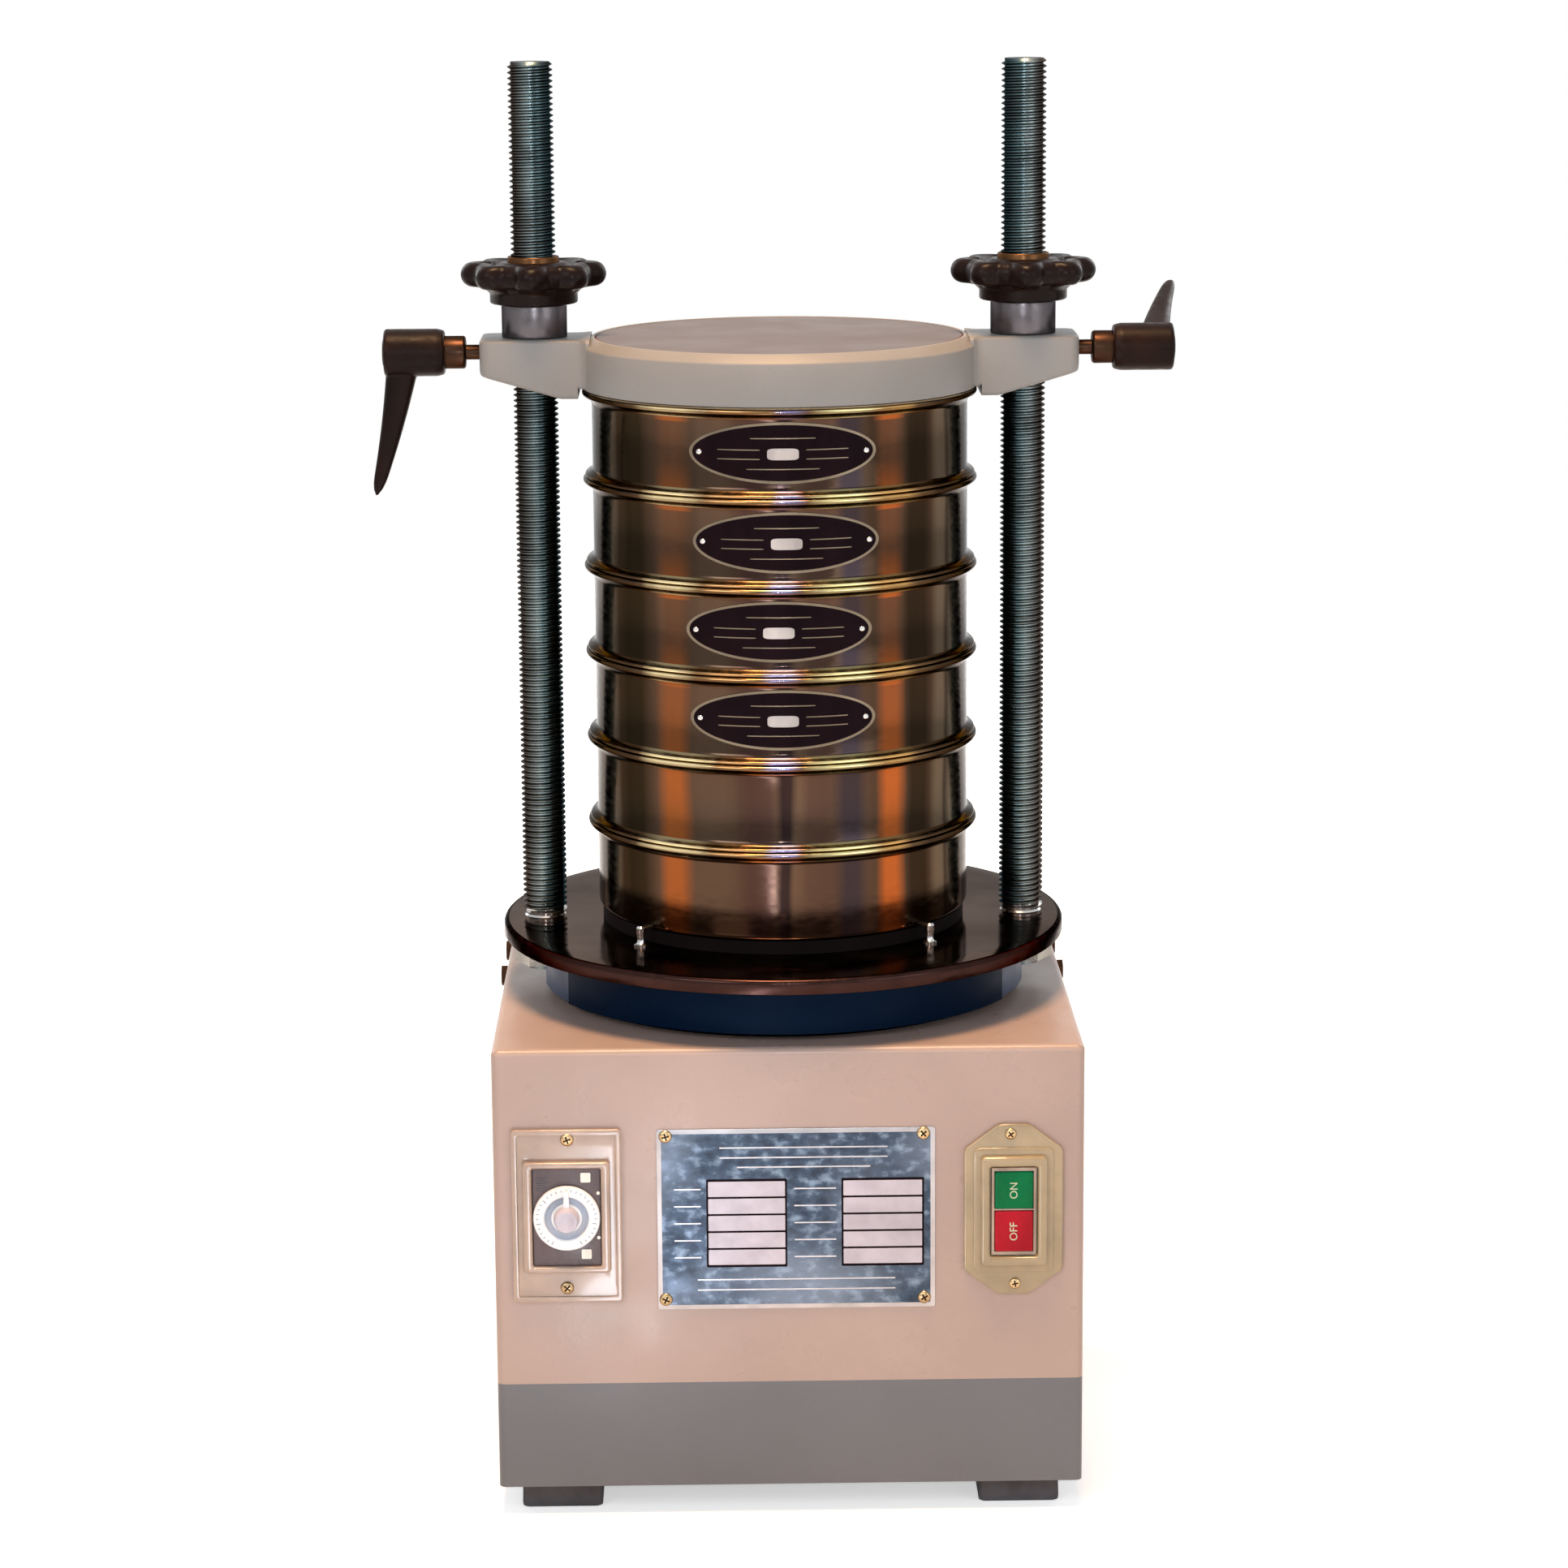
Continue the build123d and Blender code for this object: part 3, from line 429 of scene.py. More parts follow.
def wound_iron():
    """Varnished laminations: thin layers stacked along the shaft."""
    finish = Finish("wound_iron", srgb(110, 78, 52), 0.5, 0.6)
    z = finish.axes()[2]
    layers = finish.math("SINE", finish.math("MULTIPLY", z, 2 * math.pi / SHEET_PITCH))
    finish.clouds(finish.noise(80, 3), srgb(70, 50, 36), srgb(140, 98, 62))
    finish.bump(layers, 0.0003, 0.6)
    return finish.material


def make_finishes():
    return {
        "cover": enamel("cover_enamel", CREAM, 0.30),
        "pan": enamel("pan_enamel", PAN_GREY, 0.36),
        "hoop": enamel("hoop_enamel", HOOP_GREY, 0.42, peel=1.6),
        "disc": enamel("disc_enamel", DISC_GREY, 0.5, peel=1.2, gloss_level=0.15),
        "joint": moulded("gap_shade_line", srgb(92, 50, 44), 0.6),
        "guard": enamel("guard_enamel", NAVY, 0.35, gloss_level=0.03),
        "skirt": enamel("skirt_enamel", SKIRT_BLUE, 0.4, gloss_level=0.15),
        "inner": enamel("inner_primer", srgb(96, 98, 102), 0.5),
        "motor": enamel("motor_enamel", srgb(54, 66, 84), 0.4, peel=2.0),
        "wheel": moulded("wheel_plastic", MOULDED_BLACK, 0.3, gloss_level=0.08),
        "lever": moulded("lever_plastic", srgb(19, 9, 7), 0.36, warm=srgb(30, 15, 10), gloss_level=0.08),
        "gland": moulded("gland_plastic", srgb(24, 24, 26), 0.45),
        "green": moulded("green_plastic", BUTTON_GREEN, 0.3, warm=shade(BUTTON_GREEN, 1.05), gloss_level=0.1),
        "red": moulded("red_plastic", BUTTON_RED, 0.3, warm=shade(BUTTON_RED, 1.0), gloss_level=0.1),
        "dial": moulded("dial_plastic", DIAL_WHITE, 0.25, warm=DIAL_WHITE),
        "face": moulded("face_print", FACE_BROWN, 0.2),
        "label": moulded("label_ground", LABEL_BLACK, 0.3, gloss_level=0.03),
        "ink": moulded("pale_ink", srgb(178, 174, 174), 0.4),
        "key_ink": moulded("key_ink", srgb(176, 184, 156), 0.4),
        "window": moulded("switch_window", srgb(160, 142, 128), 0.4),
        "dial_shade": moulded("dial_shade", srgb(150, 160, 176), 0.3),
        "hub": moulded("dial_hub", srgb(176, 172, 184), 0.3),
        "dark_ink": moulded("dark_ink", srgb(70, 72, 80), 0.5),
        "lamp_cap": moulded("lamp_cap", srgb(240, 226, 214), 0.2),
        "steel": turned_metal("turned_steel", srgb(98, 93, 96), 0.28, edge_tint=0.3),
        "lid": turned_metal("spun_lid", srgb(122, 106, 84), 0.24),
        "dark_steel": turned_metal("blued_steel", srgb(56, 39, 30), 0.35),
        "zinc": turned_metal("zinc_plate", srgb(150, 148, 142), 0.28),
        "brass": turned_metal("brass", srgb(88, 60, 38), 0.3),
        "screw": turned_metal("screw_brass", srgb(186, 160, 122), 0.26, stain=0.6),
        "recess": turned_metal("screw_recess", srgb(58, 44, 34), 0.5),
        "iron": turned_metal("cast_iron", srgb(84, 84, 86), 0.55, line_scale=600, line_depth=0.0002),
        "bright": turned_metal("ground_steel", srgb(190, 190, 190), 0.14, edge_tint=0.8),
        "shaded_tray_edge": turned_metal("shaded_tray_edge", srgb(50, 33, 30), 0.2, edge_tint=0.3),
        "label_edge": turned_metal("label_edge", LABEL_EDGE, 0.3),
        "thread": zinc_thread(),
        "wall": polished_wall(),
        "rim": polished_rim("polished_rim", False),
        "rim_shade": polished_rim("rim_shade", True),
        "tray": tray_mirror(),
        "feet": soft_rubber("feet_rubber", RUBBER),
        "black_rubber": soft_rubber("black_rubber", srgb(14, 10, 10), 0.7),
        "bezel": clear_moulding("bezel_moulding", BEZEL_BEIGE),
        "switch": clear_moulding("switch_moulding", SWITCH_CREAM),
        "plate": etched_plate(),
        "plate_edge": bare_plate("plate_edge", srgb(170, 168, 172), 0.9),
        "cell": bare_plate("plate_cell", PLATE_PALE, 0.3),
        "cloth": wire_cloth(),
        "winding": wound_iron(),
    }


FINISH = make_finishes()


# Outlines
def rounded(points, radius, steps=4):
    """Closed outline with its corners rounded. The radius is one number, or one for each corner."""
    outline = []
    count = len(points)
    radii = radius if isinstance(radius, (list, tuple)) else [radius] * count
    for index, (point, size) in enumerate(zip(points, radii)):
        corner = Vector(point)
        back = Vector(points[index - 1]) - corner
        ahead = Vector(points[(index + 1) % count]) - corner
        reach = min(back.length, ahead.length) * 0.48
        back.normalize()
        ahead.normalize()
        opening = back.angle(ahead, math.pi)
        if size <= 0 or opening > math.radians(179):
            outline.append(corner)
            continue
        along = min(reach, size / math.tan(opening / 2))
        true_radius = along * math.tan(opening / 2)
        middle = corner + (back + ahead).normalized() * (true_radius / math.sin(opening / 2))
        start = corner + back * along - middle
        turn = start.angle_signed(corner + ahead * along - middle)
        for step in range(steps + 1):
            angle = -turn * step / steps
            outline.append(middle + Matrix.Rotation(angle, 2) @ start)
    return [(p.x, p.y) for p in outline]


def rectangle(width, height, radius=0.0, x=0.0, y=0.0, steps=4):
    left, right = x - width / 2, x + width / 2
    low, high = y - height / 2, y + height / 2
    points = [(left, low), (right, low), (right, high), (left, high)]
    return rounded(points, radius, steps) if radius else points


def regular(sides, radius, turn=0.0):
    angles = [2 * math.pi * (i + turn) / sides for i in range(sides)]
    return [(radius * math.cos(a), radius * math.sin(a)) for a in angles]


def circle(radius, height, count):
    """Points on a level circle round the Z axis."""
    angles = [2 * math.pi * index / count for index in range(count)]
    return [(radius * math.cos(a), radius * math.sin(a), height) for a in angles]


def squared_circle(count, power):
    """Points of a unit circle. A power under 1 makes it squarer."""
    points = []
    for index in range(count):
        angle = 2 * math.pi * index / count
        x, y = math.cos(angle), math.sin(angle)
        points.append((math.copysign(abs(x) ** power, x), math.copysign(abs(y) ** power, y)))
    return points


def arc(x, z, radius, start, sweep, steps):
    """Points of a profile on an arc. Its start and sweep are degrees."""
    angles = [math.radians(start + sweep * step / steps) for step in range(steps + 1)]
    return [(x + radius * math.cos(a), z + radius * math.sin(a)) for a in angles]


# Meshes
# In metres: points this close are one, and an edge this short is dissolved
WELD = 1e-7
SHORT_EDGE = 1e-8


def build(name, points, faces, finish):
    """New object at the origin, from points in millimetres, with its faces pointing outwards."""
    mesh = bpy.data.meshes.new(name)
    mesh.from_pydata([Vector(p) * MM for p in points], [], faces)
    bm = bmesh.new()
    bm.from_mesh(mesh)
    bmesh.ops.remove_doubles(bm, verts=bm.verts, dist=WELD)
    bmesh.ops.dissolve_degenerate(bm, edges=bm.edges, dist=SHORT_EDGE)
    bmesh.ops.recalc_face_normals(bm, faces=bm.faces)
    bm.to_mesh(mesh)
    bm.free()
    mesh.materials.append(FINISH[finish])
    piece = bpy.data.objects.new(name, mesh)
    bpy.context.scene.collection.objects.link(piece)
    return piece


def settle(piece, angle=35):
    """Apply the modifiers and shade smooth, with edges over this angle kept sharp."""
    graph = bpy.context.evaluated_depsgraph_get()
    mesh = bpy.data.meshes.new_from_object(piece.evaluated_get(graph))
    old = piece.data
    piece.modifiers.clear()
    piece.data = mesh
    bpy.data.meshes.remove(old)
    mesh.shade_smooth()
    mesh.set_sharp_from_angle(angle=math.radians(angle))
    return piece


def tone(piece, finish, pick):
    """Give the faces that pick(radius, height) names another finish. Lengths are millimetres."""
    piece.data.materials.append(FINISH[finish])
    index = len(piece.data.materials) - 1
    for face in piece.data.polygons:
        middle = face.center / MM
        if pick(math.hypot(middle.x, middle.y), middle.z):
            face.material_index = index


def soften(piece, width, segments=3, limit=30):
    """Round the sharp edges by a width in millimetres, and settle the piece."""
    bevel = piece.modifiers.new("edge", "BEVEL")
    bevel.width = width * MM
    bevel.segments = segments
    bevel.limit_method = "ANGLE"
    bevel.angle_limit = math.radians(limit)
    return settle(piece)


def combine(piece, others, operation):
    """Boolean of a piece with others, which are used up."""
    for other in others:
        step = piece.modifiers.new("combine", "BOOLEAN")
        step.operation = operation
        step.solver = "EXACT"
        step.object = other
        step.material_mode = "TRANSFER"
    settle(piece)
    for other in others:
        mesh = other.data
        bpy.data.objects.remove(other)
        bpy.data.meshes.remove(mesh)
    return piece


def move(piece, matrix):
    """Move a piece's mesh in millimetres, leaving its object at the origin."""
    scaled = matrix.copy()
    scaled.translation *= MM
    piece.data.transform(scaled)
    if matrix.to_3x3().determinant() < 0:
        piece.data.flip_normals()
    return piece


def shift(x, y, z):
    return Matrix.Translation((x, y, z))


def on_front(x, z, out=0.0):
    """Matrix that stands a shape drawn on XY on the front panel, with its own Z pointing out."""
    return shift(x, FRONT - out, z) @ FRONT_SIDE_TURN


def join(pieces, name):
    """Make one object of several meshes."""
    first = pieces[0]
    with bpy.context.temp_override(active_object=first, selected_editable_objects=pieces):
        bpy.ops.object.join()
    first.name = name
    first.data.name = name
    return first


def ring_of(start, count):
    """Numbers of the points of a ring, from the first of them."""
    return list(range(start, start + count))


def strip(low, high):
    """Faces between two rings. A ring that is one point over and over gives triangles."""
    faces = []
    for index in range(len(low)):
        ahead = (index + 1) % len(low)
        face = list(dict.fromkeys([low[index], low[ahead], high[ahead], high[index]]))
        if len(face) > 2:
            faces.append(face)
    return faces


def lathe(name, profile, finish, segments=96, closed=True):
    """Turn a profile of (radius, height) points round the Z axis. An open one ends on the axis."""
    points = []
    rings = []
    for radius, height in profile:
        on_axis = radius < 1e-6
        rings.append([len(points)] * segments if on_axis else ring_of(len(points), segments))
        points += [(0, 0, height)] if on_axis else circle(radius, height, segments)
    faces = []
    for low, high in zip(rings, rings[1:] + (rings[:1] if closed else [])):
        faces += strip(low, high)
    return build(name, points, faces, finish)


def turned(name, points, radii, finish, segments, closed=False, steps=3):
    """Turn an outline whose corners are rounded by the given radii."""
    return lathe(name, rounded(points, radii, steps), finish, segments, closed)


def prism(name, outline, low, high, finish):
    return loft(name, [[(x, y, height) for x, y in outline] for height in (low, high)], finish)


def frame_prism(name, outer, inner, low, high, finish):
    """Flat frame between two outlines with the same number of points."""
    count = len(outer)
    points = []
    for outline, height in ((outer, low), (outer, high), (inner, high), (inner, low)):
        points += [(x, y, height) for x, y in outline]
    faces = []
    for row in range(4):
        faces += strip(ring_of(row * count, count), ring_of((row + 1) % 4 * count, count))
    return build(name, points, faces, finish)


def loft(name, sections, finish):
    """Skin through closed sections of as many points each, with both ends closed."""
    count = len(sections[0])
    points = [p for section in sections for p in section]
    last = len(points) - count
    faces = [ring_of(0, count)[::-1], ring_of(last, count)]
    for start in range(0, last, count):
        faces += strip(ring_of(start, count), ring_of(start + count, count))
    return build(name, points, faces, finish)


def dress(piece, body, slot, *nodes):
    """Let a piece move with its body, and stand for the CAD nodes that it replaces."""
    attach(piece, body)
    if nodes:
        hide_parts(*nodes)
    return piece


# Threaded rods
THREAD_PITCH = 3.0
THREAD_ROOT = 10.3
THREAD_POINTS = ((0.0, THREAD_CREST), (0.125, THREAD_CREST), (0.4375, THREAD_ROOT), (0.6875, THREAD_ROOT))
ROD_CHAMFER = 1.5
ROD_NECK_R = 10.6
ROD_NECK_H = 3.0
SPIGOT_R = 10.0


def thread_radius(phase):
    phase %= 1.0
    stops = list(THREAD_POINTS) + [(1.0, THREAD_CREST)]
    for (start, low), (end, high) in zip(stops, stops[1:]):
        if start <= phase <= end:
            return low + (high - low) * (phase - start) / (end - start)
    return THREAD_CREST


def thread_rings(low, high, segments):
    """Columns of points along a thread. Each column starts a little higher than the one before it."""
    turns = int((high - low) / THREAD_PITCH) + 3
    columns = []
    for segment in range(segments):
        angle = 2 * math.pi * segment / segments
        lead = THREAD_PITCH * segment / segments
        column = []
        for turn in range(-1, turns):
            for phase, _ in THREAD_POINTS:
                height = min(max(low + THREAD_PITCH * (turn + phase) + lead, low), high)
                radius = thread_radius((height - low - lead) / THREAD_PITCH)
                column.append((radius * math.cos(angle), radius * math.sin(angle), height))
        columns.append(column)
    return columns


def threaded_rod(name, x, spigot_low, foot, top, segments=48):
    low = foot + ROD_NECK_H
    high = top - ROD_CHAMFER
    columns = thread_rings(low, high, segments)
    rows = len(columns[0])
    points = [p for column in columns for p in column]
    faces = []
    step = len(THREAD_POINTS)
    for segment in range(segments):
        last = segment == segments - 1
        for row in range(rows - 1):
            ahead_row = row + step if last else row
            if ahead_row + 1 > rows - 1:
                continue
            here = segment * rows + row
            ahead = (0 if last else (segment + 1) * rows) + ahead_row
            faces.append([here, ahead, ahead + 1, here + 1])
    lower_end = [(SPIGOT_R, spigot_low), (SPIGOT_R, foot), (ROD_NECK_R + 0.8, foot)]
    lower_end += [(ROD_NECK_R, foot + 1.0), (ROD_NECK_R, low - 0.6)]
    upper_end = [(THREAD_ROOT, top)]
    for ends, row in ((lower_end[::-1], 0), (upper_end, rows - 1)):
        before = [segment * rows + row for segment in range(segments)]
        for radius, height in ends:
            ring = ring_of(len(points), segments)
            points += circle(radius, height, segments)
            faces += strip(before, ring)
            before = ring
        faces.append(before)
    rod = build(name, points, faces, "thread")
    tone(rod, "bright", lambda r, h: foot < h < low + 1.2)
    move(rod, shift(x, 0, 0))
    return settle(rod, 28)


def on_rod(piece, side):
    """Move a piece from the Z axis to the left (-1) or right (1) rod."""
    return move(piece, shift(side * ROD_X, 0, 0))


def rods():
    for name in ("left_rod", "right_rod"):
        low, high = corners(name)
        middle = (low[0] + high[0]) / 2
        rod = threaded_rod(name + "_threaded", middle, low[2], TABLE_TOP, high[2])
        dress(rod, "table", "rod_steel", name)


# Handwheels
WHEEL_LOBES = 8
LOBE_R = 8.5
LOBE_RING_R = 31.5
WHEEL_CORE_R = 34.0
WHEEL_HUB_R = 23.5
WHEEL_BORE_R = 13.8
WHEEL_RIM_HALF = 6.5
WHEEL_RIM_LOW = 9.0
LOBE_TRIM = 1.1
WHEEL_SEGMENTS = 192
WHEEL_RIM_STEPS = 8
# Radius and height of the hub below the rim, and radius and depth of the hub above it
HUB_BELOW = (
    (WHEEL_BORE_R, 0.6),
    (WHEEL_BORE_R + 0.6, 0.0),
    (WHEEL_HUB_R - 1.2, 0.0),
    (WHEEL_HUB_R - 0.3, 0.4),
    (WHEEL_HUB_R, 1.2),
    (WHEEL_HUB_R, 5.0),
    (WHEEL_HUB_R + 0.5, 6.0),
    (WHEEL_HUB_R + 3.0, 8.2),
)
HUB_ABOVE = (
    (WHEEL_HUB_R, 2.0),
    (20.0, 2.2),
    (18.4, 1.0),
    (17.4, 0.2),
    (16.4, 0.0),
    (WHEEL_BORE_R + 0.6, 0.0),
    (WHEEL_BORE_R, 0.6),
)


def lobed_radius(angle):
    """Edge of the wheel at an angle, with the hollows between its lobes softened."""
    share = 2 * math.pi / WHEEL_LOBES
    off = (angle + share / 2) % share - share / 2
    across = LOBE_RING_R * math.sin(off)
    lobe = 0
    if abs(across) < LOBE_R:
        lobe = LOBE_RING_R * math.cos(off) + math.sqrt(LOBE_R**2 - across**2)
    softness = 1.6
    return softness * math.log(math.exp(lobe / softness) + math.exp(WHEEL_CORE_R / softness))


def handwheel(name, side, low):
    middle = low + WHEEL_RIM_LOW + WHEEL_RIM_HALF
    top = middle + WHEEL_RIM_HALF
    rows = [("hub", radius, low + height) for radius, height in HUB_BELOW]
    for step in range(-WHEEL_RIM_STEPS, WHEEL_RIM_STEPS + 1):
        angle = math.radians(step * 90 / WHEEL_RIM_STEPS)
        inset = WHEEL_RIM_HALF * (1 - math.cos(angle)) * 0.95
        rows.append(("rim", inset, middle + WHEEL_RIM_HALF * math.sin(angle)))
    rows.append(("rim", 9.0, top - 0.4))
    rows += [("hub", radius, top - depth) for radius, depth in HUB_ABOVE]
    count = WHEEL_SEGMENTS
    points = []
    for kind, value, height in rows:
        for index in range(count):
            angle = 2 * math.pi * index / count
            radius = value if kind == "hub" else lobed_radius(angle) - LOBE_TRIM - value
            points.append((radius * math.cos(angle), radius * math.sin(angle), height))
    faces = []
    for row in range(len(rows)):
        faces += strip(ring_of(row * count, count), ring_of((row + 1) % len(rows) * count, count))
    return settle(on_rod(build(name, points, faces, "wheel"), side), 50)


def wheels():
    bore = THREAD_CREST + 0.15
    for side, word in ((-1, "left"), (1, "right")):
        low = corners(word + "_handwheel")[0]
        wheel = handwheel(word + "_lobed_wheel", side, low[2])
        dress(wheel, word + "_wheel", "wheel_black", word + "_handwheel")
        low, high = corners(word + "_wheel_insert")
        tube = [(bore, low[2]), (WHEEL_BORE_R, low[2]), (WHEEL_BORE_R, high[2]), (bore, high[2])]
        insert = turned(word + "_brass_insert", tube, [0.3, 0.3, 1.0, 0.5], "brass", 64, closed=True)
        dress(settle(on_rod(insert, side)), word + "_wheel", "insert_brass", word + "_wheel_insert")


# Clamping levers, drawn for the right side with the arm hanging down from the X axis
ARM_END_X = 160.0
COLLAR_START = 168.0
COLLAR_R = 8.8
HUB_START = 179.3
HUB_END = 211.8
HUB_R = 12.7
CAP_R = 7.2
STUD_R = 4.0
LEVER_REACH = 77.0
LEVER_LEAN = 17.0
LEVER_ROOT_HALF_W = 9.35
LEVER_ROOT_HALF_D = 6.5
LEVER_TIP_HALF_W = 3.0
LEVER_TIP_HALF_D = 2.5
LEVER_SQUARENESS = 0.8
LEVER_BOW = 1.2
LEVER_ROOT_X = HUB_END - 11.0
# Degrees that each arm is turned from there
LEVER_TURN = {"left": 0.0, "right": 112.0}
LEVER_Z = HOOP_TOP - 8.1
ALONG_X = Matrix.Rotation(math.radians(90), 4, "Y")


def lever_arm():
    sections = []
    steps, around = 22, 28
    for step in range(steps + 1):
        share = step / steps
        half_w = LEVER_ROOT_HALF_W + (LEVER_TIP_HALF_W - LEVER_ROOT_HALF_W) * share
        half_d = LEVER_ROOT_HALF_D + (LEVER_TIP_HALF_D - LEVER_ROOT_HALF_D) * share
        if step > steps - 3:
            near_tip = (share - (steps - 3) / steps) / (3 / steps)
            rounding = math.sqrt(max(1 - near_tip**2, 0.04))
            half_w *= rounding
            half_d *= rounding
        middle = LEVER_ROOT_X + LEVER_LEAN * share - LEVER_BOW * math.sin(math.pi * share)
        section = squared_circle(around, LEVER_SQUARENESS)
        sections.append([(middle + half_w * x, half_d * y, -LEVER_REACH * share) for x, y in section])
    return loft("lever_arm", sections, "lever")


def remesh(piece, voxel, relax):
    """Fuse a piece's overlapping shells into one skin, with soft joins."""
    step = piece.modifiers.new("fuse", "REMESH")
    step.mode = "VOXEL"
    step.voxel_size = voxel * MM
    calm = piece.modifiers.new("relax", "SMOOTH")
    calm.iterations = relax
    calm.factor = 0.5
    return settle(piece, 180)


def lever(word, side):
    body = word + "_clamp"
    turn = shift(0, 0, LEVER_Z) @ Matrix.Rotation(math.radians(LEVER_TURN[word]), 4, "X")
    place = Matrix.Diagonal((side, 1, 1, 1)) @ turn
    outline = [(0, HUB_START), (HUB_R - 1.0, HUB_START), (HUB_R, HUB_START + 4)]
    outline += [(HUB_R, HUB_END), (0, HUB_END)]
    hub = turned("lever_hub", outline, [0, 1.2, 2, 1.6, 0], "lever", 64, steps=4)
    moulding = join([move(hub, ALONG_X), lever_arm()], word + "_lever_moulding")
    move(remesh(moulding, 0.6, 4), place)
    dress(moulding, body, "lever_black", word + "_lever")
    low, high = HUB_END - 0.5, HUB_END + 0.7
    outline = [(0, low), (CAP_R, low), (CAP_R, high), (CAP_R - 1.6, high), (0, HUB_END + 0.3)]
    cap = turned(word + "_lever_cap", outline, [0, 0, 0.5, 0.3, 0], "lever", 48)
    dress(settle(move(cap, place @ ALONG_X)), body, "lever_black")
    low, high = ROD_X + THREAD_CREST + 0.3, HUB_START + 0.2
    outline = [(0, low), (STUD_R, low), (STUD_R, COLLAR_START), (COLLAR_R, COLLAR_START), (COLLAR_R, high)]
    outline.append((0, high))
    stud = turned(word + "_turned_stud", outline, [0, 0.5, 0.4, 1.4, 0.2, 0], "dark_steel", 48)
    dress(settle(move(stud, place @ ALONG_X)), body, "stud_steel", word + "_lever_stud")


# Clamp hoop
HOOP_R = 106.3
HOOP_BORE_R = 99.0
HOOP_LEDGE_W = 4.0
HOOP_CHAMFER_W = 6.0
HOOP_CHAMFER_H = 4.5
DISC_T = 2.0
LEDGE_T = 3.0
ARM_HALF_W = 22.0
ARM_END_H = 19.0
ARM_ROOT_X = 117.0
ARM_ROOT_DROP = 4.3
ARM_CORNER_R = 7.0
ARM_FILLET_R = 6.0
ARM_EDGE_R = 2.2
ARM_END_R = 1.5
# Places along the arm that get a section. The close pair makes the step below its root.
ARM_STEP_X = HOOP_R + 1.4
ARM_STATIONS = [101, 103, 105, 106.5, ARM_STEP_X - 0.01, ARM_STEP_X + 0.01, 108.7, 110, 113, 116, 118]
ARM_STATIONS += [122, 131, 140, 148, 153, 155, 156.5, 158, 159, 159.6, ARM_END_X]
ROD_HOLE_R = 12.5


def arm_half_width(x):
    """Half width of the arm in plan, with a fillet at the hoop and round corners at the end."""
    fillet_y = ARM_HALF_W + ARM_FILLET_R
    fillet_x = math.sqrt((HOOP_R + ARM_FILLET_R) ** 2 - fillet_y**2)
    if x < fillet_x:
        off = min(fillet_x - x, ARM_FILLET_R * 0.97)
        return fillet_y - math.sqrt(ARM_FILLET_R**2 - off**2)
    corner_start = ARM_END_X - ARM_CORNER_R
    if x > corner_start:
        off = min((x - corner_start) / ARM_CORNER_R, 1.0)
        return ARM_HALF_W - ARM_CORNER_R * (1 - math.sqrt(max(1 - off**2, 0)))
    return ARM_HALF_W


def arm_low(x):
    """Underside of the arm: it hangs below the hoop at its root and rises to its end."""
    root_low = HOOP_LOW - ARM_ROOT_DROP
    if x < ARM_STEP_X:
        return HOOP_LOW + 1.0
    if x < ARM_ROOT_X:
        return root_low
    share = (x - ARM_ROOT_X) / (ARM_END_X - ARM_ROOT_X)
    return root_low + (HOOP_TOP - ARM_END_H - root_low) * share


def hoop_arm():
    sections = []
    for x in ARM_STATIONS:
        end_inset = max(0.0, x - (ARM_END_X - ARM_END_R))
        inset = ARM_END_R - math.sqrt(max(ARM_END_R**2 - end_inset**2, 0))
        half_w = arm_half_width(min(x, ARM_END_X - 0.1)) - inset
        low, high = arm_low(x) + inset, HOOP_TOP - inset
        outline = rounded([(-half_w, low), (half_w, low), (half_w, high), (-half_w, high)], ARM_EDGE_R)
        sections.append([(x, y, z) for y, z in outline])
    return loft("hoop_arm", sections, "hoop")


def clamp_hoop():
    ledge_r = HOOP_BORE_R - HOOP_LEDGE_W
    ledge_top = HOOP_TOP - DISC_T
    ledge_low = ledge_top - LEDGE_T
    outline = [(HOOP_BORE_R, HOOP_LOW), (HOOP_R, HOOP_LOW), (HOOP_R, HOOP_TOP - HOOP_CHAMFER_H)]
    outline += [(HOOP_R - HOOP_CHAMFER_W, HOOP_TOP), (HOOP_BORE_R, HOOP_TOP), (HOOP_BORE_R, ledge_top)]
    outline += [(ledge_r, ledge_top), (ledge_r, ledge_low), (HOOP_BORE_R, ledge_low - HOOP_LEDGE_W)]
    radii = [0.8, 1.2, 1.6, 0.5, 0.3, 0, 0.5, 0.5, 1]
    hoop = turned("cast_hoop", outline, radii, "hoop", 160, closed=True)
    combine(hoop, [move(hoop_arm(), Matrix.Rotation(math.pi, 4, "Z")), hoop_arm()], "UNION")
    drills = []
    for side in (-1, 1):
        drill = prism("drill", regular(64, ROD_HOLE_R), HOOP_LOW - 20, HOOP_TOP + 5, "hoop")
        cross = prism("drill", regular(32, STUD_R + 0.3), 0, 40, "hoop")
        sideways = shift(side * ROD_X, 0, LEVER_Z) @ Matrix.Rotation(side * math.radians(90), 4, "Y")
        drills += [on_rod(drill, side), move(cross, sideways)]
    combine(hoop, drills, "DIFFERENCE")
    hoop.data.set_sharp_from_angle(angle=math.radians(32))
    dress(hoop, "hoop", "hoop_paint", "clamp_hoop")
    edge = HOOP_BORE_R - 0.25
    outline = [(0, ledge_top), (edge, ledge_top), (edge, HOOP_TOP - 0.9), (edge - 1.1, HOOP_TOP - 0.3)]
    outline.append((0, HOOP_TOP - 0.3))
    disc = settle(turned("press_plate", outline, [0, 0.2, 0.2, 0.3, 0], "disc", 160))
    # Painted shade in the gap between the disc and the hoop: a dark ring round the disc's edge
    tone(disc, "joint", lambda r, z: r > edge - 0.9)
    dress(disc, "hoop", "disc_paint", "press_disc")


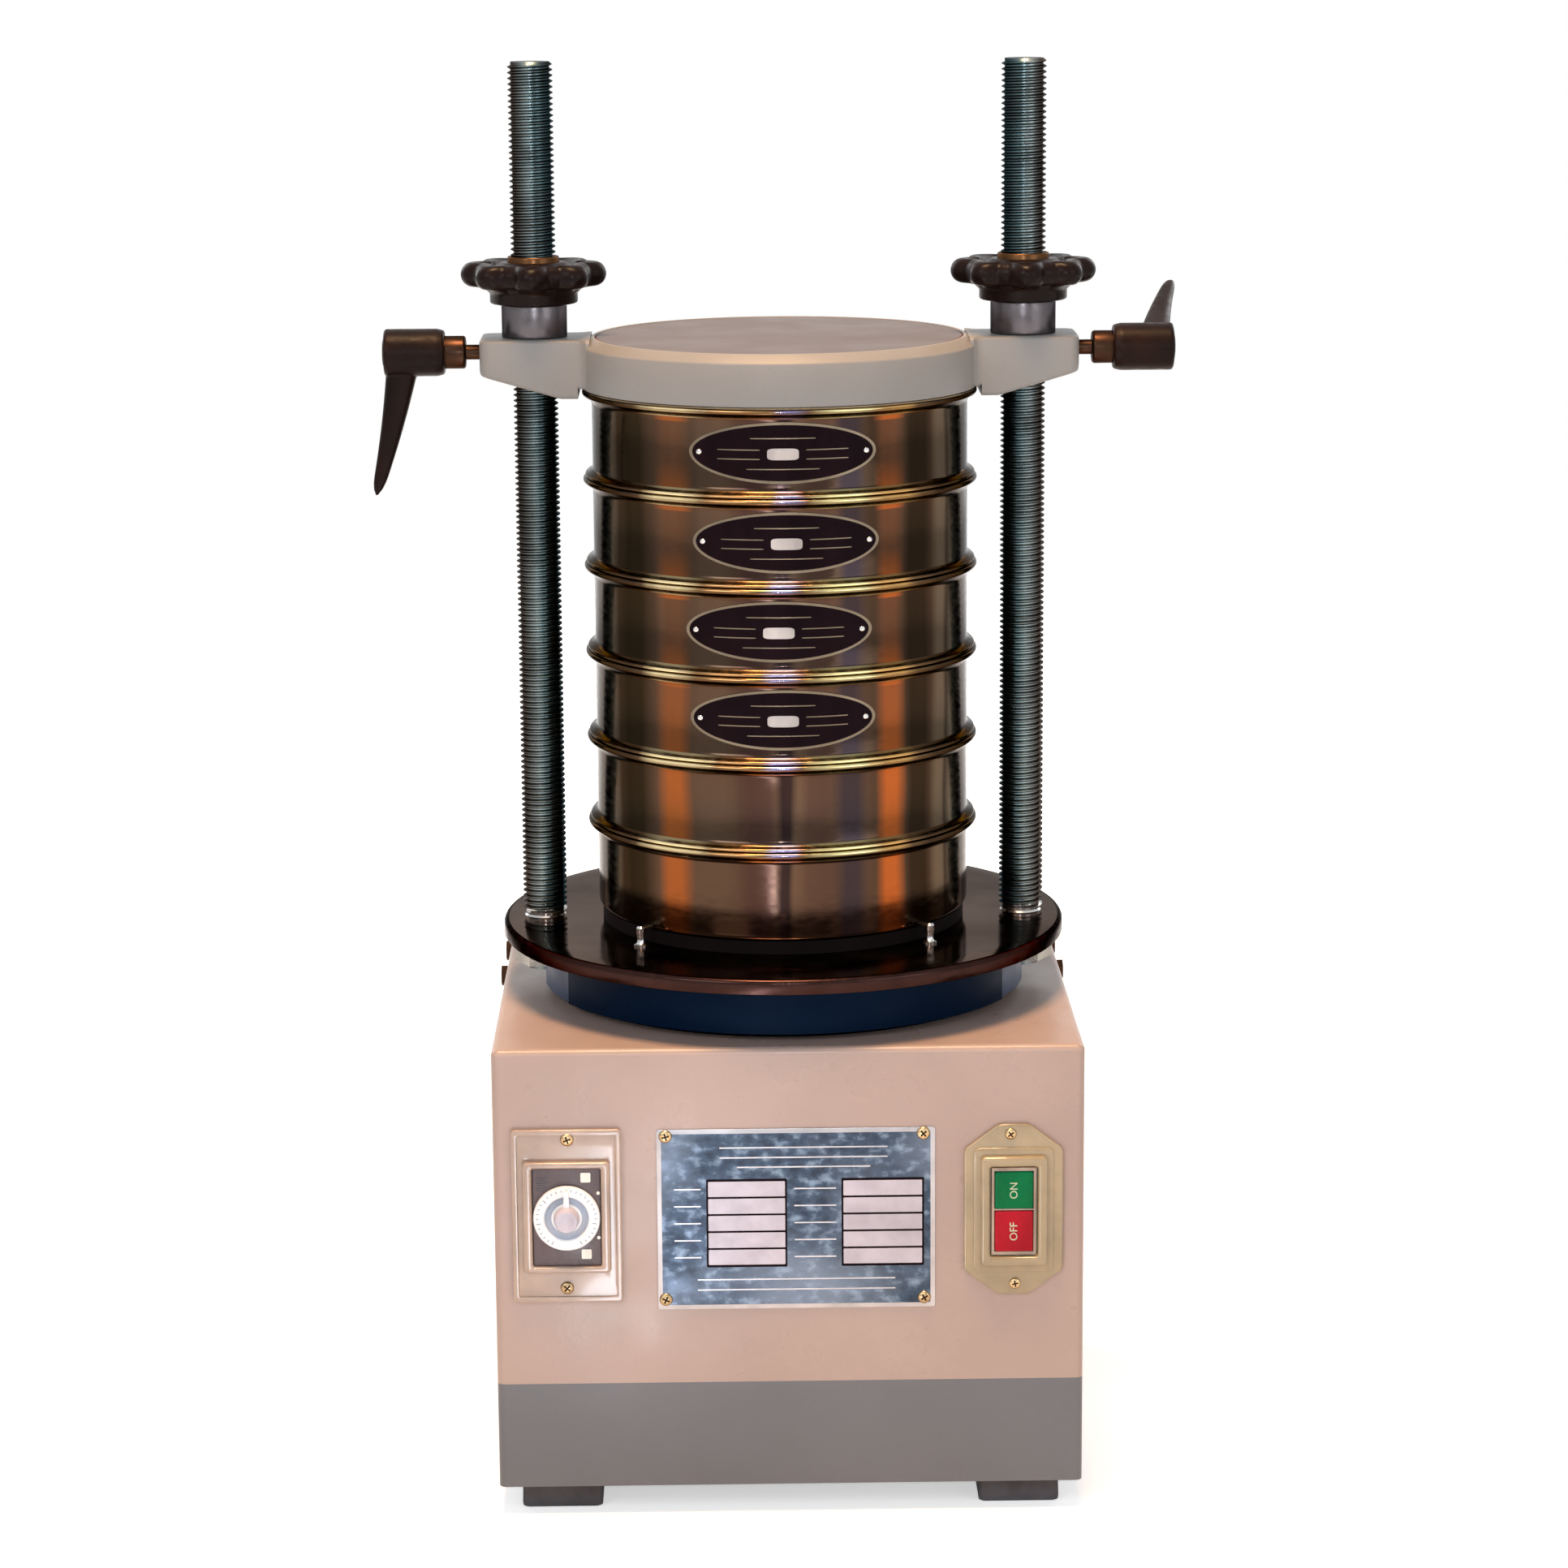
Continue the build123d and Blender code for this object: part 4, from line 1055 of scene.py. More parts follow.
def sleeves():
    low, high = corners("guide_sleeves")
    outer = high[0] - ROD_X
    tube = [(ROD_HOLE_R, low[2]), (outer, low[2]), (outer, high[2]), (ROD_HOLE_R, high[2])]
    made = [on_rod(turned("sleeve", tube, 0.7, "steel", 96, closed=True), side) for side in (-1, 1)]
    dress(settle(join(made, "turned_sleeves")), "hoop", "sleeve_steel", "guide_sleeves")


# Sieves and pan
BORE_R = 100.0
WALL_T = 1.0
RIM_R = 106.2
SHOULDER_R = 105.0
SHOULDER_H = 4.6
SHOULDER_BEAD_R = 1.1
RIM_H = 3.2
FLARE_H = 2.6
SKIRT_LEN = 8.0
SKIRT_R = 99.7
PAN_CORNER_R = 4
STACK_SEGMENTS = 192


def rim_profile(top):
    """Rolled rim, from the wall outwards over its bead and back to the bore."""
    wall = BORE_R + WALL_T
    points = [(wall, top - RIM_H - FLARE_H - 1.6), (wall + 0.5, top - RIM_H - FLARE_H + 0.2)]
    points += [(wall + 2.2, top - RIM_H - 0.6)]
    bead = RIM_H / 2
    points += arc(RIM_R - bead, top - bead, bead, -80, 170, 8)
    points += [(BORE_R + 0.8, top), (BORE_R + 0.2, top - 0.3), (BORE_R, top - 0.9)]
    return points


def sieve(number):
    low, high = corners("sieve_%d" % number)
    base, top = low[2] + SKIRT_LEN, high[2]
    wall = BORE_R + WALL_T
    profile = [(SKIRT_R - WALL_T, base - SKIRT_LEN), (SKIRT_R, base - SKIRT_LEN), (SKIRT_R, base - 0.1)]
    bead = SHOULDER_BEAD_R
    profile += arc(SHOULDER_R - bead, base + 0.05 + bead, bead, -90, 150, 6)
    profile += [(wall + 1.6, base + SHOULDER_H - 1.6), (wall + 0.4, base + SHOULDER_H - 0.3)]
    profile += [(wall, base + SHOULDER_H + 1.2)]
    profile += rim_profile(top)
    profile += [(BORE_R, base + WALL_T), (SKIRT_R - WALL_T, base + WALL_T)]
    piece = lathe("spun_sieve_%d" % number, profile, "wall", STACK_SEGMENTS)
    settle(piece, 60)
    flare_low = top - RIM_H - FLARE_H
    # Painted shade on the outer faces of the shoulder and the rolled rim, then painted highlights on the
    # upper faces of their beads
    tone(piece, "rim_shade", lambda r, z: r > wall + 0.2 and not base + SHOULDER_H <= z <= flare_low)
    tone(piece, "rim", lambda r, z: r > wall + 2.2 and (base + 0.7 < z < base + 2.3 or z > top - 1.7))
    dress(piece, "table", "sieve_steel", "sieve_%d" % number)


def receiver():
    low, high = corners("receiver_pan")
    base, top = low[2], high[2]
    wall = BORE_R + WALL_T
    profile = [(0, base)]
    profile += arc(wall - PAN_CORNER_R, base + PAN_CORNER_R, PAN_CORNER_R, -90, 90, 5)
    profile += rim_profile(top)
    profile += [(BORE_R, base + 5), (BORE_R - 3, base + WALL_T), (0, base + WALL_T)]
    piece = lathe("spun_pan", profile, "wall", STACK_SEGMENTS, closed=False)
    settle(piece, 60)
    # Painted shade on the outer faces of the rolled rim, then a painted highlight on the top of its bead
    tone(piece, "rim_shade", lambda r, z: r > wall + 0.2 and z > top - RIM_H - FLARE_H)
    tone(piece, "rim", lambda r, z: r > wall + 2.2 and z > top - 1.7)
    dress(piece, "table", "sieve_steel", "receiver_pan")


# Oval plates on the upper sieves
OVAL_W = 97.0
OVAL_H = 32.0
OVAL_T = 0.5
# Degrees that each oval plate is turned off the front, from the top sieve down
OVAL_TURNS = (0.1, 1.0, -1.5, -0.4)
# Rules on an oval plate: place across, place up and half length
OVAL_RULES = ((-23, 1.6, 11), (23, 1.6, 11), (-23, -3.2, 11), (23, -3.2, 11), (0, 7.6, 17), (0, -8.4, 19))


def on_wall(x, z, rise, turn):
    """Point on the sieve wall straight in front of (x, z), raised from the wall and turned round it."""
    radius = BORE_R + WALL_T + rise
    angle = math.asin(x / radius) + math.radians(turn)
    return (radius * math.sin(angle), -radius * math.cos(angle), z)


def oval_patch(name, half_w, half_h, middle, rise, low_rise, finish, turn, power=2.0, x=0.0):
    """Thin oval or rounded patch that follows the wall."""
    steps, around = 10, 72
    rings = [1.0 if step == 0 else 1.0 - (step - 1) / (steps - 1) for step in range(steps)]
    points = []
    for step, share in enumerate(rings[:-1]):
        height = low_rise if step == 0 else rise
        for across, up in squared_circle(around, 2 / power):
            points.append(on_wall(x + half_w * share * across, middle + half_h * share * up, height, turn))
    centre = len(points)
    points.append(on_wall(x, middle, rise, turn))
    faces = []
    last = (steps - 2) * around
    for start in range(0, last, around):
        faces += strip(ring_of(start, around), ring_of(start + around, around))
    faces += strip(ring_of(last, around), [centre] * around)
    faces.append(ring_of(0, around)[::-1])
    return build(name, points, faces, finish)


def rivet(name, x, z, turn, radius=1.6):
    dome = [(0, 0.9), (radius * 0.5, 0.78), (radius * 0.85, 0.45), (radius, 0.0), (0, 0.0)]
    piece = lathe(name, dome, "bright", 24, closed=False)
    spot = Vector(on_wall(x, z, OVAL_T, turn))
    facing = math.atan2(spot.x, -spot.y)
    move(piece, shift(*spot) @ Matrix.Rotation(facing, 4, "Z") @ FRONT_SIDE_TURN)
    return piece


def oval_plates():
    for place, turn in enumerate(OVAL_TURNS):
        number = 5 - place
        low, high = corners("sieve_%d" % number)
        middle = (low[2] + SKIRT_LEN + high[2]) / 2 + 0.4
        word = "oval_plate_%d" % number

        def patch(name, half_w, half_h, up, rise, low_rise, finish, power=2.0, x=0.0):
            return oval_patch(name, half_w, half_h, middle + up, rise, low_rise, finish, turn, power, x)

        def stick(piece, *nodes):
            dress(settle(piece, 40), "table", "label_black", *nodes)

        edge = patch(word, OVAL_W / 2, OVAL_H / 2, 0, OVAL_T, 0.0, "label_edge")
        stick(edge, *(["sieve_labels"] if place == 0 else []))
        half_w, half_h = OVAL_W / 2 - 1.6, OVAL_H / 2 - 1.4
        stick(patch(word + "_ground", half_w, half_h, 0, OVAL_T + 0.06, OVAL_T - 0.1, "label"))
        stick(patch(word + "_field", 8.2, 3.0, -0.6, OVAL_T + 0.14, OVAL_T, "ink", 5.0))
        rules = []
        for x, up, half in OVAL_RULES:
            rules.append(patch("rule", half, 0.28, up, OVAL_T + 0.12, OVAL_T, "label_edge", 6.0, x))
        stick(join(rules, word + "_rules"))
        pins = [rivet("rivet", side * (OVAL_W / 2 - 5), middle, turn) for side in (-1, 1)]
        dress(settle(join(pins, word + "_rivets"), 60), "table", "zinc")


# Tray and clips
TRAY_EDGE_R = 2.6


def tray():
    low, high = corners("tray")
    edge = high[0]
    top = high[2]
    lip = low[2]
    under = top - 1.5
    profile = [(0, under), (edge - 3.0, under), (edge - 1.8, under - 0.6), (edge - 1.5, under - 1.8)]
    profile += [(edge - 1.5, lip), (edge - 1.2, lip), (edge - 0.2, lip), (edge, lip + 0.3)]
    profile += arc(edge - TRAY_EDGE_R, top - TRAY_EDGE_R, TRAY_EDGE_R, 0, 90, 6)
    profile += [(edge - 12, top), (edge - 40, top), (0, top)]
    piece = lathe("turned_tray", profile, "tray", 224, closed=False)
    holes = []
    for side in (-1, 1):
        hole = prism("hole", regular(48, SPIGOT_R + 0.1), top - 12, top + 4, "tray")
        holes.append(on_rod(hole, side))
    combine(piece, holes, "DIFFERENCE")
    # Painted shade: the rolled edge of the tray is darker
    tone(piece, "shaded_tray_edge", lambda r, z: r > edge - 2.4)
    dress(piece, "table", "tray_steel", "tray")


CLIP_RING_R = 109.0
CLIP_H = 11.0
CLIP_R = 2.5


def clips():
    made = []
    for quarter in range(4):
        profile = [(0, 0), (CLIP_R + 1.3, 0), (CLIP_R + 1.3, 1.0), (CLIP_R, 1.6), (CLIP_R - 0.4, 2.2)]
        profile += [(CLIP_R - 0.4, 6.4), (CLIP_R, 7.0), (CLIP_R, CLIP_H - 1.0)]
        profile += [(CLIP_R - 1.0, CLIP_H), (0, CLIP_H)]
        post = settle(lathe("post", profile, "bright", 32, closed=False))
        nose = prism("nose", rectangle(8.0, 4.0, 0.8, x=-4.0), CLIP_H - 3.0, CLIP_H - 0.4, "bright")
        soften(nose, 0.5, 2)
        angle = math.radians(45 + 90 * quarter)
        spot = Matrix.Rotation(angle, 4, "Z") @ shift(CLIP_RING_R, 0, TABLE_TOP)
        for part in (post, nose):
            made.append(move(part, spot))
    dress(join(made, "hooked_clips"), "table", "zinc", "pan_clips")


# Front panel
def cross_screw(name, radius, rise, x, z, out, turn):
    """Domed cross-head screw standing on the front panel."""
    dome = [(0, rise), (radius * 0.45, rise * 0.96), (radius * 0.75, rise * 0.78)]
    dome += [(radius * 0.95, rise * 0.4), (radius, 0.0), (radius * 0.9, -0.2), (0, -0.2)]
    head = lathe(name, dome, "screw", 40, closed=False)
    slots = []
    for quarter in (0, 1):
        slot = prism("slot", rectangle(radius * 1.15, radius * 0.26), rise * 0.35, rise + 1, "recess")
        slots.append(move(slot, Matrix.Rotation(math.radians(turn + 90 * quarter), 4, "Z")))
    combine(head, slots, "DIFFERENCE")
    return move(head, on_front(x, z, out))


def screw_set(name, places, radius, rise, out, slot):
    heads = [cross_screw("head", radius, rise, x, z, out, turn) for x, z, turn in places]
    dress(join(heads, name), "base", slot)


def mount(shapes, name, place, body, slot):
    """Join shapes drawn on XY, and stand them on the front panel."""
    piece = join(shapes, name)
    move(piece, on_front(*place))
    dress(settle(piece), body, slot)


TIMER = (-116.6, 166.6)
TIMER_W = 57.5
TIMER_H = 94.0
TIMER_BORDER_W = 3.0
TIMER_OPENING = (36.6, 54.0)
TIMER_FRAME = (46.0, 60.5)
TIMER_FRAME_OPENING = (36.0, 53.5)
TIMER_FACE = (35.4, 52.9)
FACE_OUT = 3.6
DIAL_LEVEL = 4.3
DIAL_TICKS = 31


def timer():
    x, z = TIMER
    outer = rectangle(TIMER_W, TIMER_H, 1.6)
    inside = rectangle(TIMER_W - 2 * TIMER_BORDER_W, TIMER_H - 2 * TIMER_BORDER_W, 1.2)
    plate = frame_prism("plate", outer, rectangle(*TIMER_OPENING, 1.6), 0, 2.2, "bezel")
    border = frame_prism("border", outer, inside, 2.1, 3.0, "bezel")
    opening = rectangle(*TIMER_FRAME_OPENING, 1.4)
    raised = frame_prism("raised", rectangle(*TIMER_FRAME, 2.0), opening, 2.1, 6.0, "bezel")
    for part, width in ((plate, 0.4), (border, 0.5), (raised, 1.6)):
        soften(part, width, 4)
    bezel = join([plate, border, raised], "timer_moulding")
    dress(move(bezel, on_front(x, z)), "base", "bezel_plastic", "timer_bezel")

    face = prism("timer_dial_face", rectangle(*TIMER_FACE, 0.8), -20, FACE_OUT, "face")
    soften(face, 0.3, 2)
    hole = prism("hole", regular(32, 3.3), -5, 6, "face")
    combine(face, [hole], "DIFFERENCE")
    move(face, on_front(x, z))
    dress(face, "base", "timer_face", "timer_body")
    marks = []
    sunk = FACE_OUT - 0.05
    for up in (21.4, -20.4):
        window = rectangle(5.2, 5.2, 0.6, x=10.1, y=up)
        marks.append(prism("mark", window, sunk, FACE_OUT + 0.15, "lamp_cap"))
    for up in (13.0, -11.3):
        lamp_cap = prism("mark", regular(20, 0.9), sunk, FACE_OUT + 0.5, "lamp_cap")
        marks.append(move(lamp_cap, shift(16.6, up, 0)))
    for row in range(6):
        line = rectangle(4.0 if row % 2 else 6.0, 0.5, x=-13.0, y=21.5 - row * 1.4)
        marks.append(prism("mark", line, sunk, FACE_OUT + 0.08, "dark_ink"))
    mount(marks, "timer_face_marks", TIMER, "base", "dial_white")
    timer_knob(x, z)
    screw_set("timer_screws", [(x + 0.7, z + 41.7, 20), (x - 0.4, z - 39.2, 50)], 3.5, 1.7, 2.3, "zinc")


def timer_knob(x, z):
    level = DIAL_LEVEL
    profile = [(0, level), (17.0, level), (17.5, level + 0.5), (17.5, level + 2.0), (17.0, level + 2.8)]
    profile += [(16.2, level + 3.0), (12.2, level + 3.0), (11.6, level + 2.2), (10.4, level + 1.6)]
    profile += [(8.0, level + 1.6), (6.9, level + 2.4), (6.3, level + 7.6), (5.6, level + 8.8)]
    profile += [(4.6, level + 9.0), (3.6, level + 8.6), (0, level + 8.3)]
    knob = settle(lathe("knob", profile, "dial", 128, closed=False), 40)
    tone(knob, "dial_shade", lambda r, h: 7.6 < r < 11.5 and h > level + 1.2)
    tone(knob, "hub", lambda r, h: r < 7.6 and h > level + 2.0)
    pointer = rounded([(-1.7, 5.0), (1.7, 5.0), (1.1, 15.6), (-1.1, 15.6)], 0.6, 3)
    grip = prism("grip", pointer, level + 1.0, level + 5.2, "dial")
    soften(grip, 0.5, 3)
    spindle = settle(prism("spindle", regular(32, 3.0), level - 6, level + 1, "dial"))
    piece = move(join([knob, grip, spindle], "timer_dial_knob"), on_front(x, z))
    dress(piece, "timer_dial", "dial_white", "timer_knob")
    ticks = []
    for index in range(DIAL_TICKS):
        angle = math.radians(index * 10 - 150)
        length, reach = (2.2, 14.9) if index % 5 == 0 else (1.2, 15.4)
        tick = prism("tick", rectangle(0.32, length, y=reach), level + 2.95, level + 3.06, "dark_ink")
        ticks.append(move(tick, Matrix.Rotation(angle, 4, "Z")))
    mount(ticks, "timer_dial_ticks", (x, z), "timer_dial", "dial_white")


RATING = (3.6, 163.4)
RATING_W = 146.0
RATING_H = 98.5
CELL_TOP = 21.2
CELL_LOW = -25.4
CELL_ROWS = 5
CELL_COLUMNS = ((-46.1, -5.8), (24.8, 66.1))
# Width, middle and height of the plain rules, and width and middle of those beside each cell
PLATE_RULES = ((88, 4, 39.0), (88, 4, 33.6), (70, 4, 28.4), (104, 0, -33.0), (104, 0, -38.6))
CELL_RULES = ((14, -57.0), (22, 10.0))
# Place and turn of each screw
RATING_SCREWS = ((-64.6, 209.0, 15), (70.4, 209.4, 40), (-65.2, 119.8, 65), (70.8, 119.6, 30))


def rating_plate():
    x, z = RATING
    sheet = prism("etched_rating_plate", rectangle(RATING_W, RATING_H, 1.2), 0, 0.8, "plate_edge")
    move(soften(sheet, 0.25, 2), on_front(x, z))
    dress(sheet, "base", "plate_metal", "rating_plate")
    inside = rectangle(RATING_W - 5.0, RATING_H - 5.0, 0.6)
    ground = prism("rating_plate_ground", inside, 0.75, 0.9, "plate")
    move(settle(ground), on_front(x, z))
    dress(ground, "base", "plate_metal")
    cells = []
    tall = (CELL_TOP - CELL_LOW) / CELL_ROWS
    levels = [CELL_TOP - tall * (row + 0.5) for row in range(CELL_ROWS)]
    for left, right in CELL_COLUMNS:
        wide, middle = right - left, (left + right) / 2
        height, level = CELL_TOP - CELL_LOW, (CELL_TOP + CELL_LOW) / 2
        surround = rectangle(wide + 2.0, height + 1.6, 0.6, x=middle, y=level)
        cells.append(prism("surround", surround, 0.85, 0.94, "label"))
        for level in levels:
            outline = rectangle(wide, tall - 1.1, 0.4, x=middle, y=level)
            cells.append(prism("cell", outline, 0.9, 1.05, "cell"))
    mount(cells, "rating_plate_cells", RATING, "base", "plate_metal")
    places = list(PLATE_RULES)
    for level in levels:
        places += [(width, across, level) for width, across in CELL_RULES]
    rules = []
    for width, across, up in places:
        line = rectangle(width, 0.7, 0.2, x=across, y=up)
        rules.append(prism("rule", line, 0.85, 0.98, "plate_edge"))
    mount(rules, "rating_plate_rules", RATING, "base", "plate_metal")
    screw_set("rating_plate_screws", RATING_SCREWS, 3.5, 1.6, 0.85, "zinc")


SWITCH = (117.6, 167.5)
SWITCH_SKIRT = (42.0, 68.0)
SWITCH_SKIRT_OPENING = (24.6, 48.6)
SWITCH_FRAME = (35.0, 60.0)
SWITCH_FRAME_OPENING = (25.0, 49.0)
LETTER_SIZE = 5.8
LETTER_HALF_T = 0.15


def switch_outline():
    half_w, half_h, side, neck = 26.0, 46.5, 33.0, 8.0
    right = [(half_w, -side), (half_w, side), (neck, half_h)]
    left = [(-neck, half_h), (-half_w, side), (-half_w, -side)]
    return rounded(right + left + [(-neck, -half_h), (neck, -half_h)], [4, 4, 8, 8, 4, 4, 8, 8])


def switch():
    x, z = SWITCH
    plate = prism("plate", switch_outline(), 0, 2.5, "switch")
    soften(plate, 0.9, 4)
    opening = rectangle(*SWITCH_SKIRT_OPENING, 1.5)
    skirt = frame_prism("skirt", rectangle(*SWITCH_SKIRT, 3.0), opening, 2.3, 3.4, "switch")
    soften(skirt, 0.6, 3)
    opening = rectangle(*SWITCH_FRAME_OPENING, 1.6)
    raised = frame_prism("raised", rectangle(*SWITCH_FRAME, 2.4), opening, 2.3, 7.5, "switch")
    soften(raised, 2.0, 5)
    cut = prism("cut", rectangle(24.0, 48.0, 1.0), -1, 4, "switch")
    combine(plate, [cut], "DIFFERENCE")
    body = join([plate, skirt, raised], "switch_moulding")
    dress(move(body, on_front(x, z)), "base", "switch_plastic", "switch_plate")
    for word, label, finish, node, body_name in (
        ("green_key", "ON", "green", "on_button", "on_key"),
        ("red_key", "OFF", "red", "off_button", "off_key"),
    ):
        low, high = corners(node)
        width, depth, height = [b - a for a, b in zip(low, high)]
        middle_x, middle_z = (low[0] + high[0]) / 2, (low[2] + high[2]) / 2
        out = FRONT - low[1]
        key = prism(word, rectangle(width, height, 1.2), out - depth, out, finish)
        move(soften(key, 0.8, 4), on_front(middle_x, middle_z))
        dress(key, body_name, "button_green" if label == "ON" else "button_red", node)
        lettering(word + "_lettering", label, middle_x, middle_z, out, body_name)
    places = [(x - 1.6, z + 41.4, 35), (x + 0.9, z - 40.3, 10)]
    screw_set("switch_screws", places, 3.1, 1.7, 2.4, "zinc")


def lettering(name, text, x, z, out, body):
    """Plain raised letters that read upwards."""
    curve = bpy.data.curves.new(name, "FONT")
    curve.body = text
    curve.size = LETTER_SIZE * MM
    curve.extrude = LETTER_HALF_T * MM
    curve.resolution_u = 4
    curve.align_x = "CENTER"
    curve.align_y = "CENTER"
    text_object = bpy.data.objects.new(name + "_curve", curve)
    bpy.context.scene.collection.objects.link(text_object)
    graph = bpy.context.evaluated_depsgraph_get()
    mesh = bpy.data.meshes.new_from_object(text_object.evaluated_get(graph))
    bpy.data.objects.remove(text_object)
    piece = bpy.data.objects.new(name, mesh)
    mesh.materials.clear()
    mesh.materials.append(FINISH["key_ink"])
    bpy.context.scene.collection.objects.link(piece)
    move(piece, on_front(x, z, out + 0.1) @ Matrix.Rotation(math.radians(90), 4, "Z"))
    dress(piece, body, "button_green" if text == "ON" else "button_red")


# Feet and gland
FOOT_W = 43.0
# Levels of a foot, and how far its edge stands out there
FOOT_LEVELS = ((0.0, -1.0), (0.6, -0.2), (2.0, 0.0), (14.0, -0.3), (16.0, -0.3))


def feet():
    high = corners("rubber_feet")[1]
    half_x = high[0] - FOOT_W / 2
    half_y = high[1] - FOOT_W / 2
    made = []
    for side_x in (-1, 1):
        for side_y in (-1, 1):
            sections = []
            for height, grow in FOOT_LEVELS:
                size = FOOT_W + 2 * grow
                outline = rectangle(size, size, 3.0, x=side_x * half_x, y=side_y * half_y)
                sections.append([(px, py, height) for px, py in outline])
            made.append(loft("foot", sections, "feet"))
    dress(settle(join(made, "moulded_feet"), 40), "base", "feet_rubber", "rubber_feet")


GLAND_BORE_R = 4.0
GLAND_HEX_R = 13.8
GLAND_CAP_R = 9.7
GLAND_FLUTES = 24
GLAND_POINTS = 144
FLUTE_DEPTH = 0.3


def gland():
    low, high = corners("cable_gland")
    x = (low[0] + high[0]) / 2
    z = (low[2] + high[2]) / 2
    base = prism("hex", regular(6, GLAND_HEX_R, 0.5), 0.0, 6.0, "gland")
    soften(base, 0.7, 3)
    fluted = []
    for index in range(GLAND_POINTS):
        angle = 2 * math.pi * index / GLAND_POINTS
        radius = GLAND_CAP_R + FLUTE_DEPTH * math.cos(GLAND_FLUTES * angle)
        fluted.append((radius * math.cos(angle), radius * math.sin(angle)))
    cap = prism("cap", fluted, 5.5, 13.4, "gland")
    soften(cap, 0.3, 2, 60)
    bore_r = GLAND_BORE_R
    dome = [(bore_r, 13.0), (9.2, 13.0), (9.2, 13.6), (8.2, 15.0), (4.6, 15.0), (bore_r, 14.4)]
    dome = settle(lathe("dome", dome, "gland", 64))
    tail = [(bore_r, -8.0), (7.6, -8.0), (7.9, -7.6), (7.9, 0.4), (bore_r, 0.4)]
    tail = settle(lathe("tail", tail, "gland", 64))
    nut = frame_prism("nut", regular(48, 13.2), regular(48, 8.0), -6.0, -2.0, "gland")
    soften(nut, 0.5, 2)
    for part in (base, cap):
        bore = prism("bore", regular(48, bore_r), -9, 20, "gland")
        combine(part, [bore], "DIFFERENCE")
    piece = join([base, cap, dome, tail, nut], "fluted_gland")
    move(piece, shift(x, -FRONT, z) @ Matrix.Rotation(math.radians(-90), 4, "X"))
    dress(piece, "base", "gland_black", "cable_gland")


# CAD nodes that stay, with the finish of each
KEPT = {
    "housing_cover": "cover",
    "base_pan": "pan",
    "deck_plate": "inner",
    "deck_posts": "inner",
    "cover_screws": "dark_steel",
    "lower_spring_cups": "zinc",
    "upper_spring_cups": "zinc",
    "rubber_springs": "black_rubber",
    "vibrating_plate": "inner",
    "skirt_segments": "skirt",
    "skirt_guards": "guard",
    "rod_nuts": "zinc",
    "lock_washers": "zinc",
    "pan_seat": "black_rubber",
    "sieve_meshes": "cloth",
    "stack_lid": "lid",
    "motor_frame": "motor",
    "motor_shield": "motor",
    "motor_bearings": "bright",
    "motor_stator": "winding",
    "motor_bolts": "zinc",
    "motor_shaft": "bright",
    "upper_weight": "iron",
    "lower_weight": "iron",
    "switch_body": "window",
}


def finish_kept_nodes():
    for node, finish in KEPT.items():
        mesh = frame["nodes"][node].data
        mesh.materials.clear()
        mesh.materials.append(FINISH[finish])


# Studio. The camera's angles are radians, and the side of the floor is metres.
CAMERA_PLACE = (-32.65, -2286.4, 845.89)
CAMERA_YAW = 0.0147
CAMERA_PITCH = 0.2069
CAMERA_ROLL = -0.0072
CAMERA_LENS = 97.8
FLOOR_SIDE = 6.0
WORLD_LIGHT = 0.33


def camera():
    data = bpy.data.cameras.new("camera")
    data.lens = CAMERA_LENS
    data.sensor_width = 36
    eye = bpy.data.objects.new("camera", data)
    bpy.context.scene.collection.objects.link(eye)
    yaw, pitch, roll = CAMERA_YAW, CAMERA_PITCH, CAMERA_ROLL
    ahead = Vector((math.sin(yaw) * math.cos(pitch), math.cos(yaw) * math.cos(pitch), -math.sin(pitch)))
    right = Vector((math.cos(yaw), -math.sin(yaw), 0))
    up = right.cross(ahead)
    tilted_right = right * math.cos(roll) + up * math.sin(roll)
    tilted_up = up * math.cos(roll) - right * math.sin(roll)
    turn = Matrix((tilted_right, tilted_up, -ahead)).transposed().to_4x4()
    eye.matrix_world = shift(*[c * MM for c in CAMERA_PLACE]) @ turn
    bpy.context.scene.camera = eye


def lamp(name, place, target, size, watts, color=(1, 1, 1)):
    """Area lamp. Its place, target and size are metres."""
    data = bpy.data.lights.new(name, "AREA")
    data.shape = "RECTANGLE"
    data.size, data.size_y = size
    data.energy = watts
    data.color = color
    light = bpy.data.objects.new(name, data)
    light.location = place
    light.rotation_euler = (Vector(target) - Vector(place)).to_track_quat("-Z", "Y").to_euler()
    light.visible_camera = False
    bpy.context.scene.collection.objects.link(light)


def lights():
    lamp("key", (-1.6, -2.4, 1.9), (0, 0, 0.35), (1.2, 1.2), 27, (0.93, 0.96, 1.0))
    lamp("fill", (2.0, -2.0, 1.1), (0, 0, 0.35), (1.4, 1.6), 14, (0.95, 0.97, 1.0))
    lamp("top", (-0.1, -0.4, 2.3), (0, 0, 0.3), (0.6, 0.6), 62, (1.0, 0.6, 0.31))
    lamp("back_left", (-1.6, 1.9, 1.4), (0, 0, 0.35), (1.0, 1.4), 14)
    lamp("back_right", (1.6, 1.9, 1.4), (0, 0, 0.35), (1.0, 1.4), 14)
    lamp("flash", (-0.033, -2.29, 0.9), (0, 0, 0.35), (0.05, 0.05), 8, (0.88, 0.94, 1.0))
    lamp("table_sheen", (-0.09, -0.62, 0.01), (-0.09, -0.62, 1.0), (0.06, 0.5), 1.1, (0.8, 0.88, 1.0))


